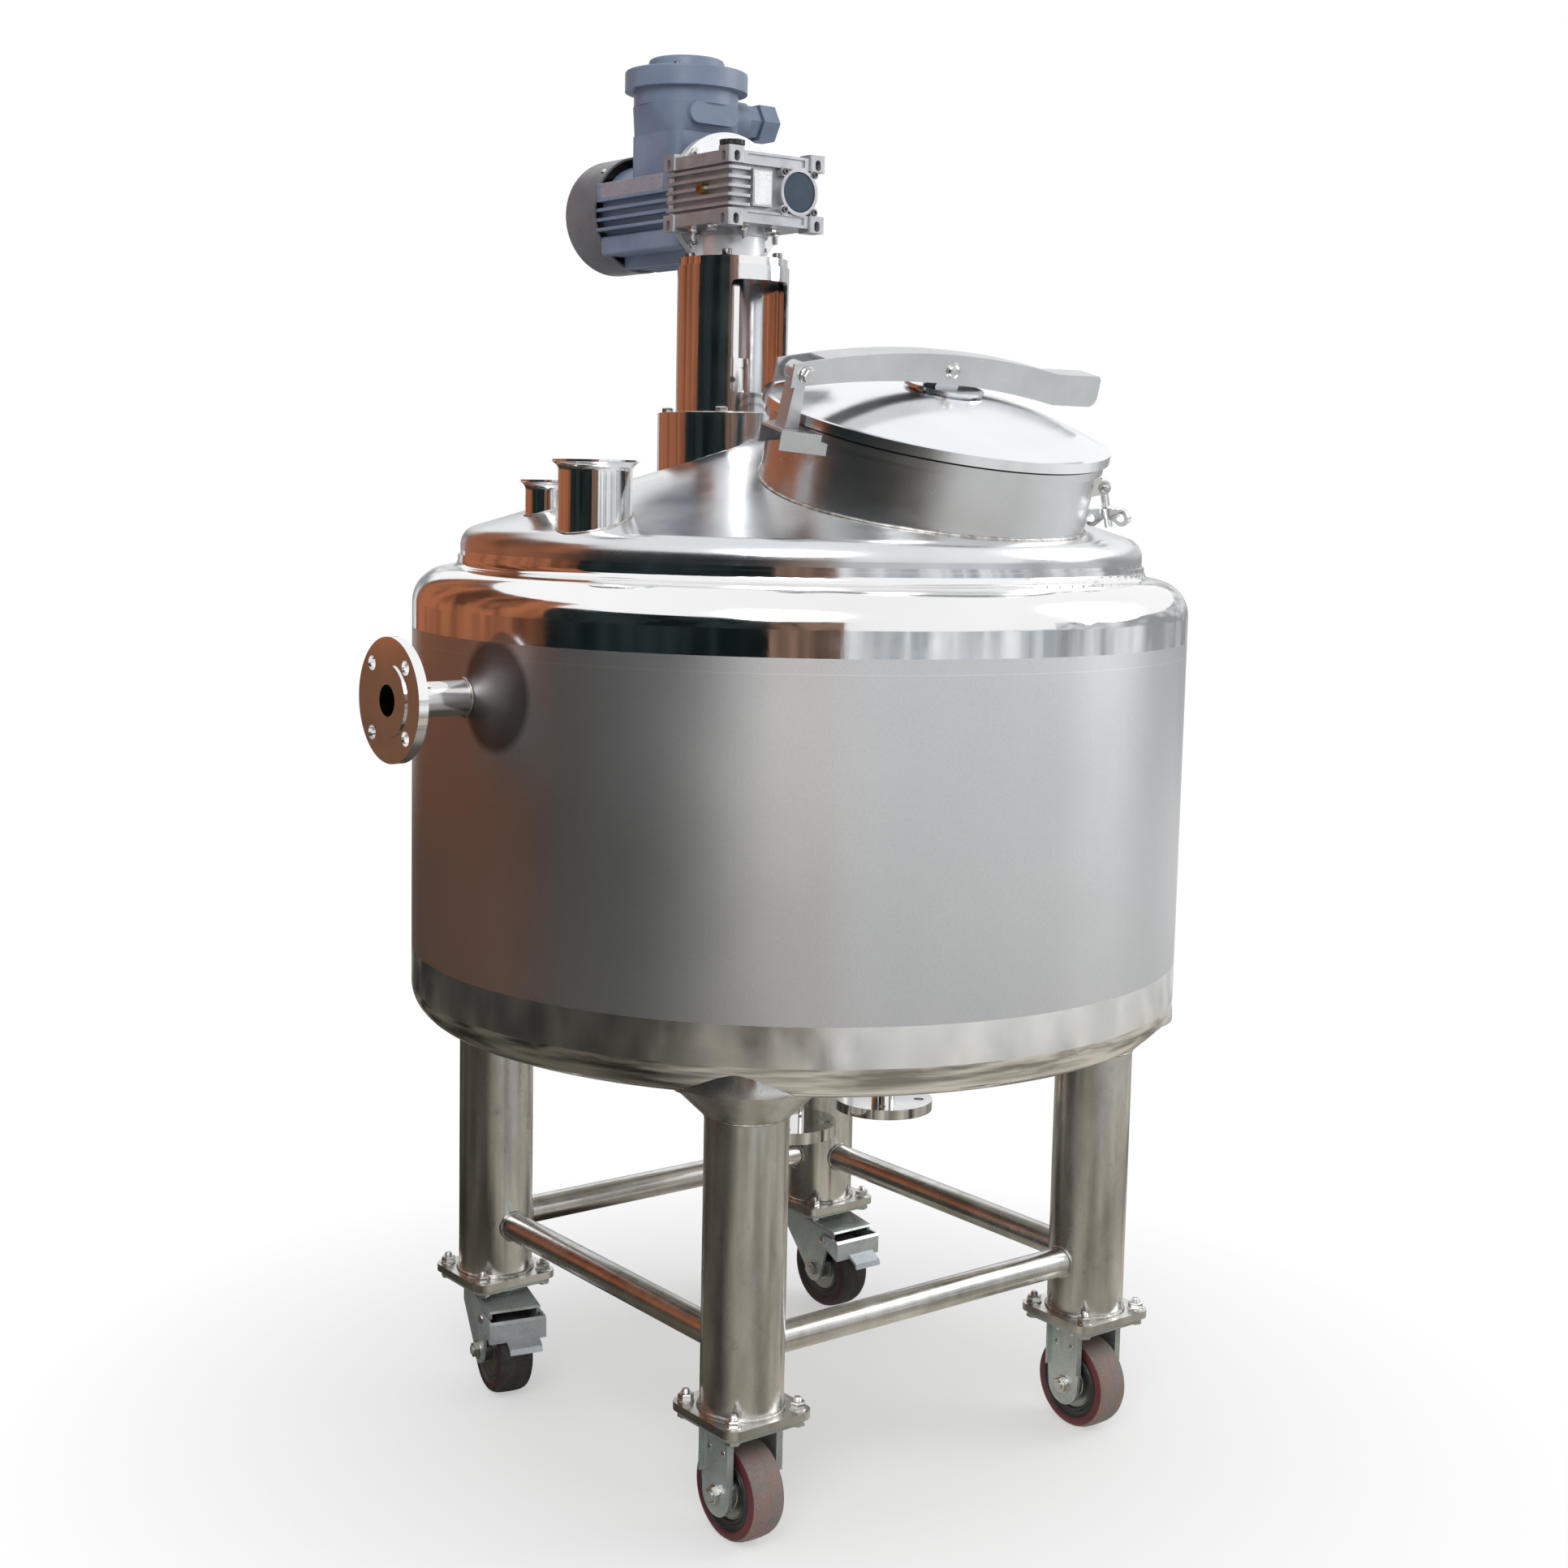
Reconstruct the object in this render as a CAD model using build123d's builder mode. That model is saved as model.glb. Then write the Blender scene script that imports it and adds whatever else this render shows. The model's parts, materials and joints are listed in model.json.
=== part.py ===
from build123d import *
from math import cos, radians, sin, tan
import os

os.makedirs("parts", exist_ok=True)

# Mobile jacketed mixing tank in stainless steel.
# Millimetres. Z up, X to the right, Y to the rear, origin on the floor under the tank's axis.

# Fits and clearances
weld_gap = 0.3
running_gap = 0.1
side_play = 1.0

# Outer jacket: a drum with a rounded shoulder and a rounded bottom edge
jacket_radius = 510.0
jacket_sheet = 3.0
jacket_low = 606.0
matte_low = jacket_low + 49.0
matte_high = 1073.0
jacket_high = matte_high + 31.0
bottom_round = 42.0
bottom_slope = 7.0
shoulder_round = 46.0
shoulder_slope = 8.0

# Inner vessel, which stands a little above the jacket
vessel_radius = jacket_radius - 62.0
vessel_sheet = 5.0
vessel_step = jacket_high + 67.5
vessel_round = 26.0
roof_slope = 17.5
crown_radius = 45.0
vessel_low = matte_low + 35.0
vessel_bottom_round = 50.0
jacket_lip = 14.0
jacket_lip_round = 10.0

# Legs and tie rails
leg_offset = jacket_radius - 220.0
leg_radius = 50.8
leg_wall = 3.0
saddle_low = jacket_low - 82.0
saddle_flare = 46.0
saddle_high = jacket_low - 34.0
pad_low = 156.0
pad_thick = 10.0
pad_size = 127.0
pad_corner = 16.0
rail_radius = 19.0
rail_wall = 2.0
rail_height = 237.0

# Jacket inlet on the left side
inlet_height = matte_high - 70.0
inlet_reach = jacket_radius + 102.0
inlet_pipe_radius = 22.0
inlet_pipe_wall = 3.0
inlet_flange_radius = 75.0
inlet_flange_thick = 12.5
inlet_face_radius = 44.0
inlet_face_rise = 2.0
inlet_bolt_circle = 58.5
inlet_bolt_hole = 9.0

# Outlets under the bottom
outlet_face = 384.0
outlet_pipe_radius = 21.2
outlet_pipe_wall = 2.6
outlet_flange_radius = 66.0
outlet_flange_thick = 16.0
outlet_bolt_circle = 48.0
outlet_bolt_hole = 9.0
drain_offset = 170.0
drain_face = 392.0
drain_pipe_radius = 16.9
drain_pipe_wall = 2.6
drain_flange_radius = 69.0
drain_flange_thick = 14.0
drain_bolt_circle = 50.0
drain_bolt_hole = 7.0

# Clamp ferrules on the roof
large_ferrule_x = 68.0 - vessel_radius
large_ferrule_y = -85.0
large_ferrule_top = 1289.0
large_ferrule_radius = 44.5
large_ferrule_rim = 51.5
small_ferrule_x = 103.0 - vessel_radius
small_ferrule_y = 82.0
small_ferrule_top = 1264.0
small_ferrule_radius = 26.5
small_ferrule_rim = 32.5
ferrule_wall = 2.0
ferrule_rim_thick = 2.5
ferrule_flare = 11.0

# Agitator stand on the roof
agitator_y = 161.5
collar_radius = 101.0
collar_wall = 10.0
collar_top = 1342.0
stand_base_thick = 16.0
stand_radius = 76.5
stand_wall = 6.0
clip_width = 18.0
clip_height = 44.0
clip_sheet = 5.0
stand_top = 1556.0
window_width = 94.0
window_low = 1386.0
window_high = 1536.0
window_round = 8.0
head_radius = 74.0
head_thick = 11.0
spacer_radius = 42.0
spacer_wall = 9.0

# Worm gearbox
gear_low = 1609.5
gear_height = 93.0
gear_back = 66.5
gear_front = 96.0
gear_half_length = 76.5
gear_flange = 17.0
gear_waist = 11.0
panel_depth = 2.5
gear_hub_radius = 46.0
gear_hub_depth = 13.0
lug_size = 26.0
lug_rise = 5.0
lug_slot = 9.0
worm_offset = 52.0
fin_count = 5
fin_thick = 4.0
fin_back = 40.0
cap_radius = 26.5
cap_ring_radius = 31.5
cap_ear_reach = 35.5
cap_ear_radius = 6.5
cap_hole_radius = 3.0
plate_width = 32.0
plate_height = 48.0
plate_offset = -9.0
plug_radius = 7.0
breather_radius = 17.0

# Motor on the rear of the gearbox
motor_radius = 70.0
motor_reach = 81.0
motor_neck = 8.0
motor_neck_radius = 37.0
motor_front = 18.0
motor_length = 199.0
motor_fin = 4.5
motor_fin_pitch = 14.0
motor_flange_radius = 96.0
cowl_radius = 84.5
cowl_length = 88.0
cowl_wall = 3.0
cowl_round = 14.0
grille_ring = 7.0
box_y = 354.5
box_radius = 75.0
box_foot = 116.0
box_seam = 1757.0
box_lid_radius = 88.0
box_lid_low = 1818.0
box_flange = 14.0
box_lid_thick = 14.0
box_crown = 57.0
box_crown_rise = 18.0
gland_height = box_lid_low - 28.0
gland_neck = 27.0
gland_reach = 23.0
gland_nut = 25.0
gland_cap = 29.0

# Agitator shaft
shaft_radius = 14.0
shaft_low = 790.0
coupling_radius = 23.0
coupling_top = 1434.0
coupling_length = 66.0
coupling_groove = 14.0
blade_reach = 120.0
blade_height = 42.0
blade_thick = 5.0

# Manway, tilted forward with the roof
manway_x = 12.0
manway_y = -225.0
manway_seam = 1241.0
manway_tilt = 14.5
neck_radius = 205.0
neck_wall = 4.0
neck_ring_low = 86.0
neck_ring_high = 96.0
neck_ring_radius = 212.0
gasket_thick = 3.0
lid_radius = 217.5
lid_rim = 12.0
lid_sheet = 3.0
lid_rise = 38.0
hub_radius = 50.0
hub_thick = 4.0
lid_lug = 24.0

# Lever over the lid
lever_width = 36.0
lever_sheet = 3.0
lever_reach = 249.0
lever_back = 250.0
lever_web_start = 204.0
lever_crown = 194.0
lever_under = 158.0
lever_pin_x = -230.0
lever_pin_z = 159.0
lever_pin_radius = 5.0
lid_pin_x = -6.0
lid_pin_z = 174.0
post_width = 20.0
post_outer = 237.0
post_inner = 223.5
post_head = 13.0
bracket_top = 94.0
bracket_low = 70.0
bracket_reach = 254.0
bracket_half = 21.0
bracket_root_half = 46.0
bracket_sheet = 3.0

# Swing bolts beside the lid, each with a wing nut: place around the neck, reach and lean outward
front_bolt_angle = -38.0
front_bolt_pivot = 219.0
front_bolt_lean = 20.0
side_bolt_angle = 2.0
side_bolt_pivot = 236.0
side_bolt_lean = 176.0
bolt_pivot_rise = 64.0
bolt_radius = 5.0
bolt_eye_radius = 9.0
ear_gap = 14.0
ear_sheet = 4.0
ear_pin_radius = 4.0
front_nut_place = 26.0
side_nut_place = 16.0
bolt_end = 13.0
nut_radius = 10.0
nut_height = 13.0
wing_reach = 33.0
wing_sheet = 8.0
front_wing_turn = 50.0
side_wing_turn = 0.0
wing_lobe = 11.0

# Casters: rigid at the front, swivel with a brake at the rear
wheel_radius = 62.5
wheel_width = 50.0
wheel_round = 9.0
rim_radius = 46.0
rim_recess = 6.0
hub_radius_wheel = 17.0
hub_width = 62.0
axle_radius = 6.0
fork_sheet = 4.5
fork_eye = 19.0
rigid_half = 29.0
rigid_eye = 27.0
caster_plate = 6.0
caster_plate_size = 118.0
plate_corner_wheel = 16.0
swivel_radius = 36.0
swivel_height = 9.0
caster_trail = 36.0
left_swivel = 12.0
brake_pivot_y = -62.0
brake_pivot_z = 116.0
brake_face_y = -97.0
brake_low = 92.0
brake_top = 130.0
pedal_width = 46.0
pedal_play = 1.0
brake_sheet = 3.0
brake_pin_radius = 4.0


def roof_z(distance):
    """Height of the roof's outer cone at a distance from the tank's axis."""
    return vessel_step + vessel_round + (vessel_radius - distance) * tan(radians(roof_slope))


def floor_z(distance):
    """Height of the jacket's outer bottom at a distance from the tank's axis."""
    corner = jacket_low - bottom_round * tan(radians(45 - bottom_slope / 2))
    return corner - (jacket_radius - distance) * tan(radians(bottom_slope))


roof_corner = roof_z(vessel_radius)
bottom_corner = floor_z(jacket_radius)
shoulder_corner = jacket_high + shoulder_round * tan(radians(45 - shoulder_slope / 2))
shoulder_inner = shoulder_corner + (jacket_radius - vessel_radius) * tan(radians(shoulder_slope))
crown_z = roof_z(crown_radius)
vessel_skirt = 10.0
vessel_corner = vessel_low - vessel_skirt - vessel_bottom_round * tan(radians(45 - bottom_slope / 2))

# Solids used only to trim what is welded to the tank
with BuildPart() as roof_envelope:
    with BuildSketch(Plane.XZ):
        with BuildLine():
            FilletPolyline(
                (vessel_radius + weld_gap, vessel_low),
                (vessel_radius + weld_gap, roof_corner + weld_gap),
                (crown_radius, crown_z + weld_gap),
                (0, crown_z + weld_gap),
                radius=vessel_round,
            )
            Polyline((0, crown_z + weld_gap), (0, vessel_low), (vessel_radius + weld_gap, vessel_low))
        make_face()
    revolve(axis=Axis.Z)

with BuildPart() as bottom_envelope:
    with BuildSketch(Plane.XZ):
        with BuildLine():
            FilletPolyline(
                (jacket_radius + weld_gap, matte_low),
                (jacket_radius + weld_gap, bottom_corner - weld_gap),
                (0, floor_z(0) - weld_gap),
                radius=bottom_round,
            )
            Polyline((0, floor_z(0) - weld_gap), (0, matte_low), (jacket_radius + weld_gap, matte_low))
        make_face()
    revolve(axis=Axis.Z)

manway = Plane(
    origin=(manway_x, manway_y, manway_seam),
    x_dir=(1, 0, 0),
    z_dir=(0, -sin(radians(manway_tilt)), cos(radians(manway_tilt))),
)
manway_side = Plane(origin=manway.origin, x_dir=manway.x_dir, z_dir=-manway.y_dir)

# Jacket
with BuildPart() as jacket_wall:
    with BuildSketch(Plane.XY.offset(matte_low)):
        Circle(jacket_radius)
        Circle(jacket_radius - jacket_sheet, mode=Mode.SUBTRACT)
    extrude(amount=matte_high - matte_low)
    with BuildSketch(Plane.YZ.offset(-jacket_radius - 1)):
        with Locations((0, inlet_height)):
            Circle(inlet_pipe_radius + weld_gap)
    extrude(amount=jacket_sheet + 10, mode=Mode.SUBTRACT)
jacket_wall.part.label = "jacket_wall"

with BuildPart() as jacket_bottom:
    with BuildSketch(Plane.XZ):
        with BuildLine():
            FilletPolyline(
                (jacket_radius, matte_low),
                (jacket_radius, bottom_corner),
                (outlet_pipe_radius - 5, floor_z(outlet_pipe_radius - 5)),
                radius=bottom_round,
            )
            offset(amount=jacket_sheet, side=Side.RIGHT)
        make_face()
    revolve(axis=Axis.Z)
    with BuildSketch(Plane.XY.offset(floor_z(0) - 1)):
        Circle(outlet_pipe_radius + weld_gap)
        with Locations((drain_offset, 0)):
            Circle(drain_pipe_radius + weld_gap)
    extrude(amount=2 * jacket_sheet + 40, mode=Mode.SUBTRACT)
jacket_bottom.part.label = "jacket_bottom"

lip_radius = vessel_radius + weld_gap + jacket_sheet
with BuildPart() as jacket_shoulder:
    with BuildSketch(Plane.XZ):
        with BuildLine():
            FilletPolyline(
                (jacket_radius, matte_high),
                (jacket_radius, shoulder_corner),
                (lip_radius, shoulder_inner),
                (lip_radius, shoulder_inner + jacket_lip),
                radius=[shoulder_round, jacket_lip_round],
            )
            offset(amount=jacket_sheet, side=Side.LEFT)
        make_face()
    revolve(axis=Axis.Z)
jacket_shoulder.part.label = "jacket_shoulder"

# Inner vessel
with BuildPart() as vessel_wall:
    with BuildSketch(Plane.XY.offset(vessel_low)):
        Circle(vessel_radius)
        Circle(vessel_radius - vessel_sheet, mode=Mode.SUBTRACT)
    extrude(amount=vessel_step - vessel_low)
vessel_wall.part.label = "vessel_wall"

with BuildPart() as vessel_bottom:
    with BuildSketch(Plane.XZ):
        with BuildLine():
            FilletPolyline(
                (vessel_radius, vessel_low),
                (vessel_radius, vessel_corner),
                (
                    outlet_pipe_radius - 5,
                    vessel_corner - (vessel_radius - outlet_pipe_radius + 5) * tan(radians(bottom_slope)),
                ),
                radius=vessel_bottom_round,
            )
            offset(amount=vessel_sheet, side=Side.RIGHT)
        make_face()
    revolve(axis=Axis.Z)
    with BuildSketch(Plane.XY.offset(vessel_low - 200)):
        Circle(outlet_pipe_radius + weld_gap)
    extrude(amount=200, mode=Mode.SUBTRACT)
vessel_bottom.part.label = "vessel_bottom"

with BuildPart() as vessel_roof:
    with BuildSketch(Plane.XZ):
        with BuildLine():
            FilletPolyline(
                (vessel_radius, vessel_step),
                (vessel_radius, roof_corner),
                (crown_radius, crown_z),
                (0, crown_z),
                radius=[vessel_round, vessel_round],
            )
            offset(amount=vessel_sheet, side=Side.LEFT)
        make_face()
    revolve(axis=Axis.Z)
    with BuildSketch(manway.offset(-60)):
        Circle(neck_radius - neck_wall)
    extrude(amount=200, mode=Mode.SUBTRACT)
    with BuildSketch(Plane.XY.offset(vessel_step)):
        with Locations((0, agitator_y)):
            Circle(collar_radius - collar_wall)
        with Locations((large_ferrule_x, large_ferrule_y)):
            Circle(large_ferrule_radius - ferrule_wall)
        with Locations((small_ferrule_x, small_ferrule_y)):
            Circle(small_ferrule_radius - ferrule_wall)
    extrude(amount=200, mode=Mode.SUBTRACT)
vessel_roof.part.label = "vessel_roof"

# Legs: tube, saddle cone up to the bottom and foot pad
legs = {}
for side, sx in (("left", -1), ("right", 1)):
    for end, sy in (("front", -1), ("rear", 1)):
        foot = (sx * leg_offset, sy * leg_offset)
        with BuildPart() as leg:
            with BuildSketch(Plane.XY.offset(pad_low + pad_thick)):
                with Locations(foot):
                    Circle(leg_radius)
                    Circle(leg_radius - leg_wall, mode=Mode.SUBTRACT)
            extrude(amount=saddle_high - pad_low - pad_thick)
            with BuildSketch(Plane.XY.offset(saddle_low)):
                with Locations(foot):
                    Circle(leg_radius)
            extrude(amount=saddle_high - saddle_low, taper=-saddle_flare)
            with BuildSketch(Plane.XY.offset(saddle_low - 1)):
                with Locations(foot):
                    Circle(leg_radius - leg_wall)
            extrude(amount=matte_low, mode=Mode.SUBTRACT)
            add(bottom_envelope.part, mode=Mode.SUBTRACT)
            with BuildSketch(Plane.XY.offset(pad_low)):
                with Locations(foot):
                    RectangleRounded(pad_size, pad_size, pad_corner)
            extrude(amount=pad_thick)
        name = f"leg_{end}_{side}"
        leg.part.label = name
        legs[name] = leg

# Tie rails between the legs
rails = {}
for name, start, along in (
    ("rail_front", (-leg_offset, -leg_offset), Plane.YZ),
    ("rail_rear", (-leg_offset, leg_offset), Plane.YZ),
    ("rail_left", (-leg_offset, -leg_offset), Plane.ZX),
    ("rail_right", (leg_offset, -leg_offset), Plane.ZX),
):
    section = Plane(
        origin=(start[0], start[1], rail_height), x_dir=along.x_dir, z_dir=along.z_dir
    )
    with BuildPart() as rail:
        with BuildSketch(section):
            Circle(rail_radius)
            Circle(rail_radius - rail_wall, mode=Mode.SUBTRACT)
        extrude(amount=2 * leg_offset)
        with BuildSketch(Plane.XY.offset(rail_height - 2 * rail_radius)):
            with GridLocations(2 * leg_offset, 2 * leg_offset, 2, 2):
                Circle(leg_radius + weld_gap)
        extrude(amount=4 * rail_radius, mode=Mode.SUBTRACT)
    rail.part.label = name
    rails[name] = rail

# Jacket inlet: flange to the left
inlet_face = Plane(origin=(-inlet_reach, 0, inlet_height), x_dir=(0, -1, 0), z_dir=(-1, 0, 0))
with BuildPart() as jacket_inlet:
    with BuildSketch(inlet_face.offset(-inlet_face_rise - inlet_flange_thick)):
        Circle(inlet_flange_radius)
    extrude(amount=inlet_flange_thick)
    with BuildSketch(inlet_face.offset(-inlet_face_rise)):
        Circle(inlet_face_radius)
    extrude(amount=inlet_face_rise)
    with BuildSketch(inlet_face.offset(-inlet_reach + vessel_radius + 15)):
        Circle(inlet_pipe_radius)
    extrude(amount=inlet_reach - vessel_radius - 20)
    with BuildSketch(inlet_face):
        Circle(inlet_pipe_radius - inlet_pipe_wall)
    extrude(amount=-inlet_reach + vessel_radius, mode=Mode.SUBTRACT)
    with BuildSketch(inlet_face):
        with PolarLocations(inlet_bolt_circle, 4, start_angle=45):
            Circle(inlet_bolt_hole)
    extrude(amount=-inlet_flange_thick - inlet_face_rise - 1, mode=Mode.SUBTRACT)
jacket_inlet.part.label = "jacket_inlet"

# Bottom outlet on the axis and jacket drain beside it
with BuildPart() as bottom_outlet:
    with BuildSketch(Plane.XY.offset(outlet_face)):
        Circle(outlet_flange_radius)
    extrude(amount=outlet_flange_thick)
    with BuildSketch(Plane.XY.offset(outlet_face)):
        Circle(outlet_pipe_radius)
    extrude(amount=vessel_corner - vessel_radius * tan(radians(bottom_slope)) - outlet_face + 4)
    with BuildSketch(Plane.XY.offset(outlet_face)):
        Circle(outlet_pipe_radius - outlet_pipe_wall)
    extrude(amount=400, mode=Mode.SUBTRACT)
    with BuildSketch(Plane.XY.offset(outlet_face)):
        with PolarLocations(outlet_bolt_circle, 4, start_angle=45):
            Circle(outlet_bolt_hole)
    extrude(amount=outlet_flange_thick, mode=Mode.SUBTRACT)
bottom_outlet.part.label = "bottom_outlet"

with BuildPart() as jacket_drain:
    with BuildSketch(Plane.XY.offset(drain_face)):
        with Locations((drain_offset, 0)):
            Circle(drain_flange_radius)
    extrude(amount=drain_flange_thick)
    with BuildSketch(Plane.XY.offset(drain_face)):
        with Locations((drain_offset, 0)):
            Circle(drain_pipe_radius)
    extrude(amount=floor_z(drain_offset) - drain_face + 12)
    with BuildSketch(Plane.XY.offset(drain_face)):
        with Locations((drain_offset, 0)):
            Circle(drain_pipe_radius - drain_pipe_wall)
    extrude(amount=300, mode=Mode.SUBTRACT)
    with BuildSketch(Plane.XY.offset(drain_face)):
        with Locations((drain_offset, 0)):
            with PolarLocations(drain_bolt_circle, 4, start_angle=45):
                Circle(drain_bolt_hole)
    extrude(amount=drain_flange_thick, mode=Mode.SUBTRACT)
jacket_drain.part.label = "jacket_drain"


# Ferrules on the roof
ferrules = {}
for name, place, radius, rim, top in (
    (
        "large_ferrule",
        (large_ferrule_x, large_ferrule_y),
        large_ferrule_radius,
        large_ferrule_rim,
        large_ferrule_top,
    ),
    (
        "small_ferrule",
        (small_ferrule_x, small_ferrule_y),
        small_ferrule_radius,
        small_ferrule_rim,
        small_ferrule_top,
    ),
):
    upright = Plane(origin=(place[0], place[1], 0), x_dir=(1, 0, 0), z_dir=(0, -1, 0))
    with BuildPart() as ferrule:
        with BuildSketch(upright):
            with BuildLine():
                rim_low = top - ferrule_rim_thick
                wall = Line((radius, vessel_step - 20), (radius, rim_low - ferrule_flare))
                flare = JernArc(wall @ 1, (0, 1), ferrule_flare, -90)
                Polyline(
                    flare @ 1,
                    (rim, rim_low),
                    (rim, top),
                    (radius - ferrule_wall, top),
                    (radius - ferrule_wall, vessel_step - 20),
                    wall @ 0,
                )
            make_face()
        revolve(axis=Axis((place[0], place[1], 0), (0, 0, 1)))
        add(roof_envelope.part, mode=Mode.SUBTRACT)
    ferrule.part.label = name
    ferrules[name] = ferrule

# Agitator stand
stand_low = collar_top + stand_base_thick
with BuildPart() as agitator_collar:
    with BuildSketch(Plane.XY.offset(vessel_step)):
        with Locations((0, agitator_y)):
            Circle(collar_radius)
            Circle(collar_radius - collar_wall, mode=Mode.SUBTRACT)
    extrude(amount=collar_top - vessel_step)
    add(roof_envelope.part, mode=Mode.SUBTRACT)
agitator_collar.part.label = "agitator_collar"

with BuildPart() as agitator_stand:
    with BuildSketch(Plane.XY.offset(collar_top)):
        with Locations((0, agitator_y)):
            Circle(collar_radius)
            Circle(shaft_radius + 1.0, mode=Mode.SUBTRACT)
    extrude(amount=stand_base_thick)
    with BuildSketch(Plane.XY.offset(stand_low)):
        with Locations((0, agitator_y)):
            Circle(stand_radius)
            Circle(stand_radius - stand_wall, mode=Mode.SUBTRACT)
    extrude(amount=stand_top - stand_low)
    with BuildSketch(Plane.XZ.offset(-agitator_y - stand_radius - 5)):
        with Locations((0, (window_low + window_high) / 2)):
            RectangleRounded(window_width, window_high - window_low, window_round)
    extrude(amount=2 * stand_radius + 10, mode=Mode.SUBTRACT)
    with BuildSketch(Plane.YZ.offset(stand_radius - clip_sheet)):
        with Locations((agitator_y, stand_top - clip_height / 2 - 2)):
            RectangleRounded(clip_width, clip_height, 4)
    extrude(amount=2 * clip_sheet)
agitator_stand.part.label = "agitator_stand"

with BuildPart() as stand_head:
    with BuildSketch(Plane.XY.offset(stand_top)):
        with Locations((0, agitator_y)):
            Circle(head_radius)
            Circle(shaft_radius + 1.0, mode=Mode.SUBTRACT)
    extrude(amount=head_thick)
stand_head.part.label = "stand_head"

with BuildPart() as drive_spacer:
    with BuildSketch(Plane.XY.offset(stand_top + head_thick)):
        with Locations((0, agitator_y)):
            Circle(spacer_radius)
            Circle(spacer_radius - spacer_wall, mode=Mode.SUBTRACT)
    extrude(amount=gear_low - gear_hub_depth - stand_top - head_thick)
drive_spacer.part.label = "drive_spacer"

# Gearbox housing: two flanges with corner lugs, finned rear corner and a round hub below
gear_mid_x = (gear_front - gear_back) / 2
gear_width = gear_front + gear_back
gear_length = 2 * gear_half_length
gear_high = gear_low + gear_height
worm_z = gear_low + gear_height / 2
fin_room = gear_height - 2 * gear_flange
cap_ear_pitch = 2 * cap_ear_reach * cos(radians(45))
with BuildPart() as gearbox_housing:
    with BuildSketch(Plane.XY.offset(gear_low + gear_flange)):
        with Locations((gear_mid_x, agitator_y)):
            RectangleRounded(gear_width - 2 * gear_waist, gear_length - 2 * gear_waist, 8)
    extrude(amount=fin_room)
    for flange_low in (gear_low, gear_high - gear_flange):
        with BuildSketch(Plane.XY.offset(flange_low)):
            with Locations((gear_mid_x, agitator_y)):
                RectangleRounded(gear_width - 6, gear_length - 6, 4)
        extrude(amount=gear_flange)
        lug_low = flange_low - lug_rise if flange_low == gear_low else flange_low
        with BuildSketch(Plane.XY.offset(lug_low)):
            with Locations((gear_mid_x, agitator_y)):
                with GridLocations(gear_width - lug_size, gear_length - lug_size, 2, 2):
                    RectangleRounded(lug_size, lug_size, 3)
        extrude(amount=gear_flange + lug_rise)
        # Nut slots, open to the outside of each lug
        with BuildSketch(Plane.XZ.offset(-agitator_y - gear_half_length - 1)):
            with Locations((gear_mid_x, lug_low + gear_flange / 2)):
                with GridLocations(gear_width - lug_size, 0, 2, 1):
                    SlotOverall(lug_slot + 5, lug_slot, rotation=90)
        extrude(amount=lug_size / 2, mode=Mode.SUBTRACT)
        with BuildSketch(Plane.XZ.offset(-agitator_y + gear_half_length + 1)):
            with Locations((gear_mid_x, lug_low + gear_flange / 2)):
                with GridLocations(gear_width - lug_size, 0, 2, 1):
                    SlotOverall(lug_slot + 5, lug_slot, rotation=90)
        extrude(amount=-lug_size / 2, mode=Mode.SUBTRACT)
        with BuildSketch(Plane.YZ.offset(-gear_back - 1)):
            with Locations((agitator_y, lug_low + gear_flange / 2)):
                with GridLocations(gear_length - lug_size, 0, 2, 1):
                    SlotOverall(lug_slot + 5, lug_slot, rotation=90)
        extrude(amount=lug_size / 2, mode=Mode.SUBTRACT)
    # Shallow panels in the flange faces between the lugs
    for panel_z in (gear_low + gear_flange / 2, gear_high - gear_flange / 2):
        for face_y in (agitator_y - gear_half_length + 3, agitator_y + gear_half_length - 3 - panel_depth):
            with BuildSketch(Plane.XZ.offset(-face_y)):
                with Locations((gear_mid_x, panel_z)):
                    RectangleRounded(gear_width - 2 * lug_size - 14, gear_flange - 7, 2)
            extrude(amount=-panel_depth, mode=Mode.SUBTRACT)
    # Cooling fins on the left side, carried round the corner to the name plate
    for level in range(fin_count):
        fin_z = gear_low + gear_flange + (level + 0.5) * fin_room / fin_count
        with BuildSketch(Plane.XY.offset(fin_z - fin_thick / 2)):
            with Locations((-gear_back + fin_back / 2 + 1, agitator_y)):
                RectangleRounded(fin_back - 2, gear_length - 4, 5)
        extrude(amount=fin_thick)
    # Worm bearing seats front and rear
    with BuildSketch(Plane.XZ.offset(-agitator_y + gear_half_length)):
        with Locations((worm_offset, worm_z)):
            Circle(cap_ring_radius)
            with GridLocations(cap_ear_pitch, cap_ear_pitch, 2, 2):
                Circle(cap_ear_radius)
    extrude(amount=-2 * gear_waist)
    with BuildSketch(Plane.XZ.offset(-agitator_y + gear_half_length)):
        with Locations((worm_offset, worm_z)):
            Circle(cap_radius + weld_gap)
            with GridLocations(cap_ear_pitch, cap_ear_pitch, 2, 2):
                Circle(cap_hole_radius)
    extrude(amount=-gear_waist, mode=Mode.SUBTRACT)
    with BuildSketch(Plane.XZ.offset(-agitator_y - gear_half_length + 2 * gear_waist)):
        with Locations((worm_offset, worm_z)):
            Circle(motor_neck_radius)
    extrude(amount=-motor_neck - 2 * gear_waist)
    # Raised seat of the name plate
    with BuildSketch(Plane.XZ.offset(-agitator_y + gear_half_length - gear_waist)):
        with Locations((plate_offset, worm_z)):
            Rectangle(plate_width, plate_height)
    extrude(amount=gear_waist - 2)
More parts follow.
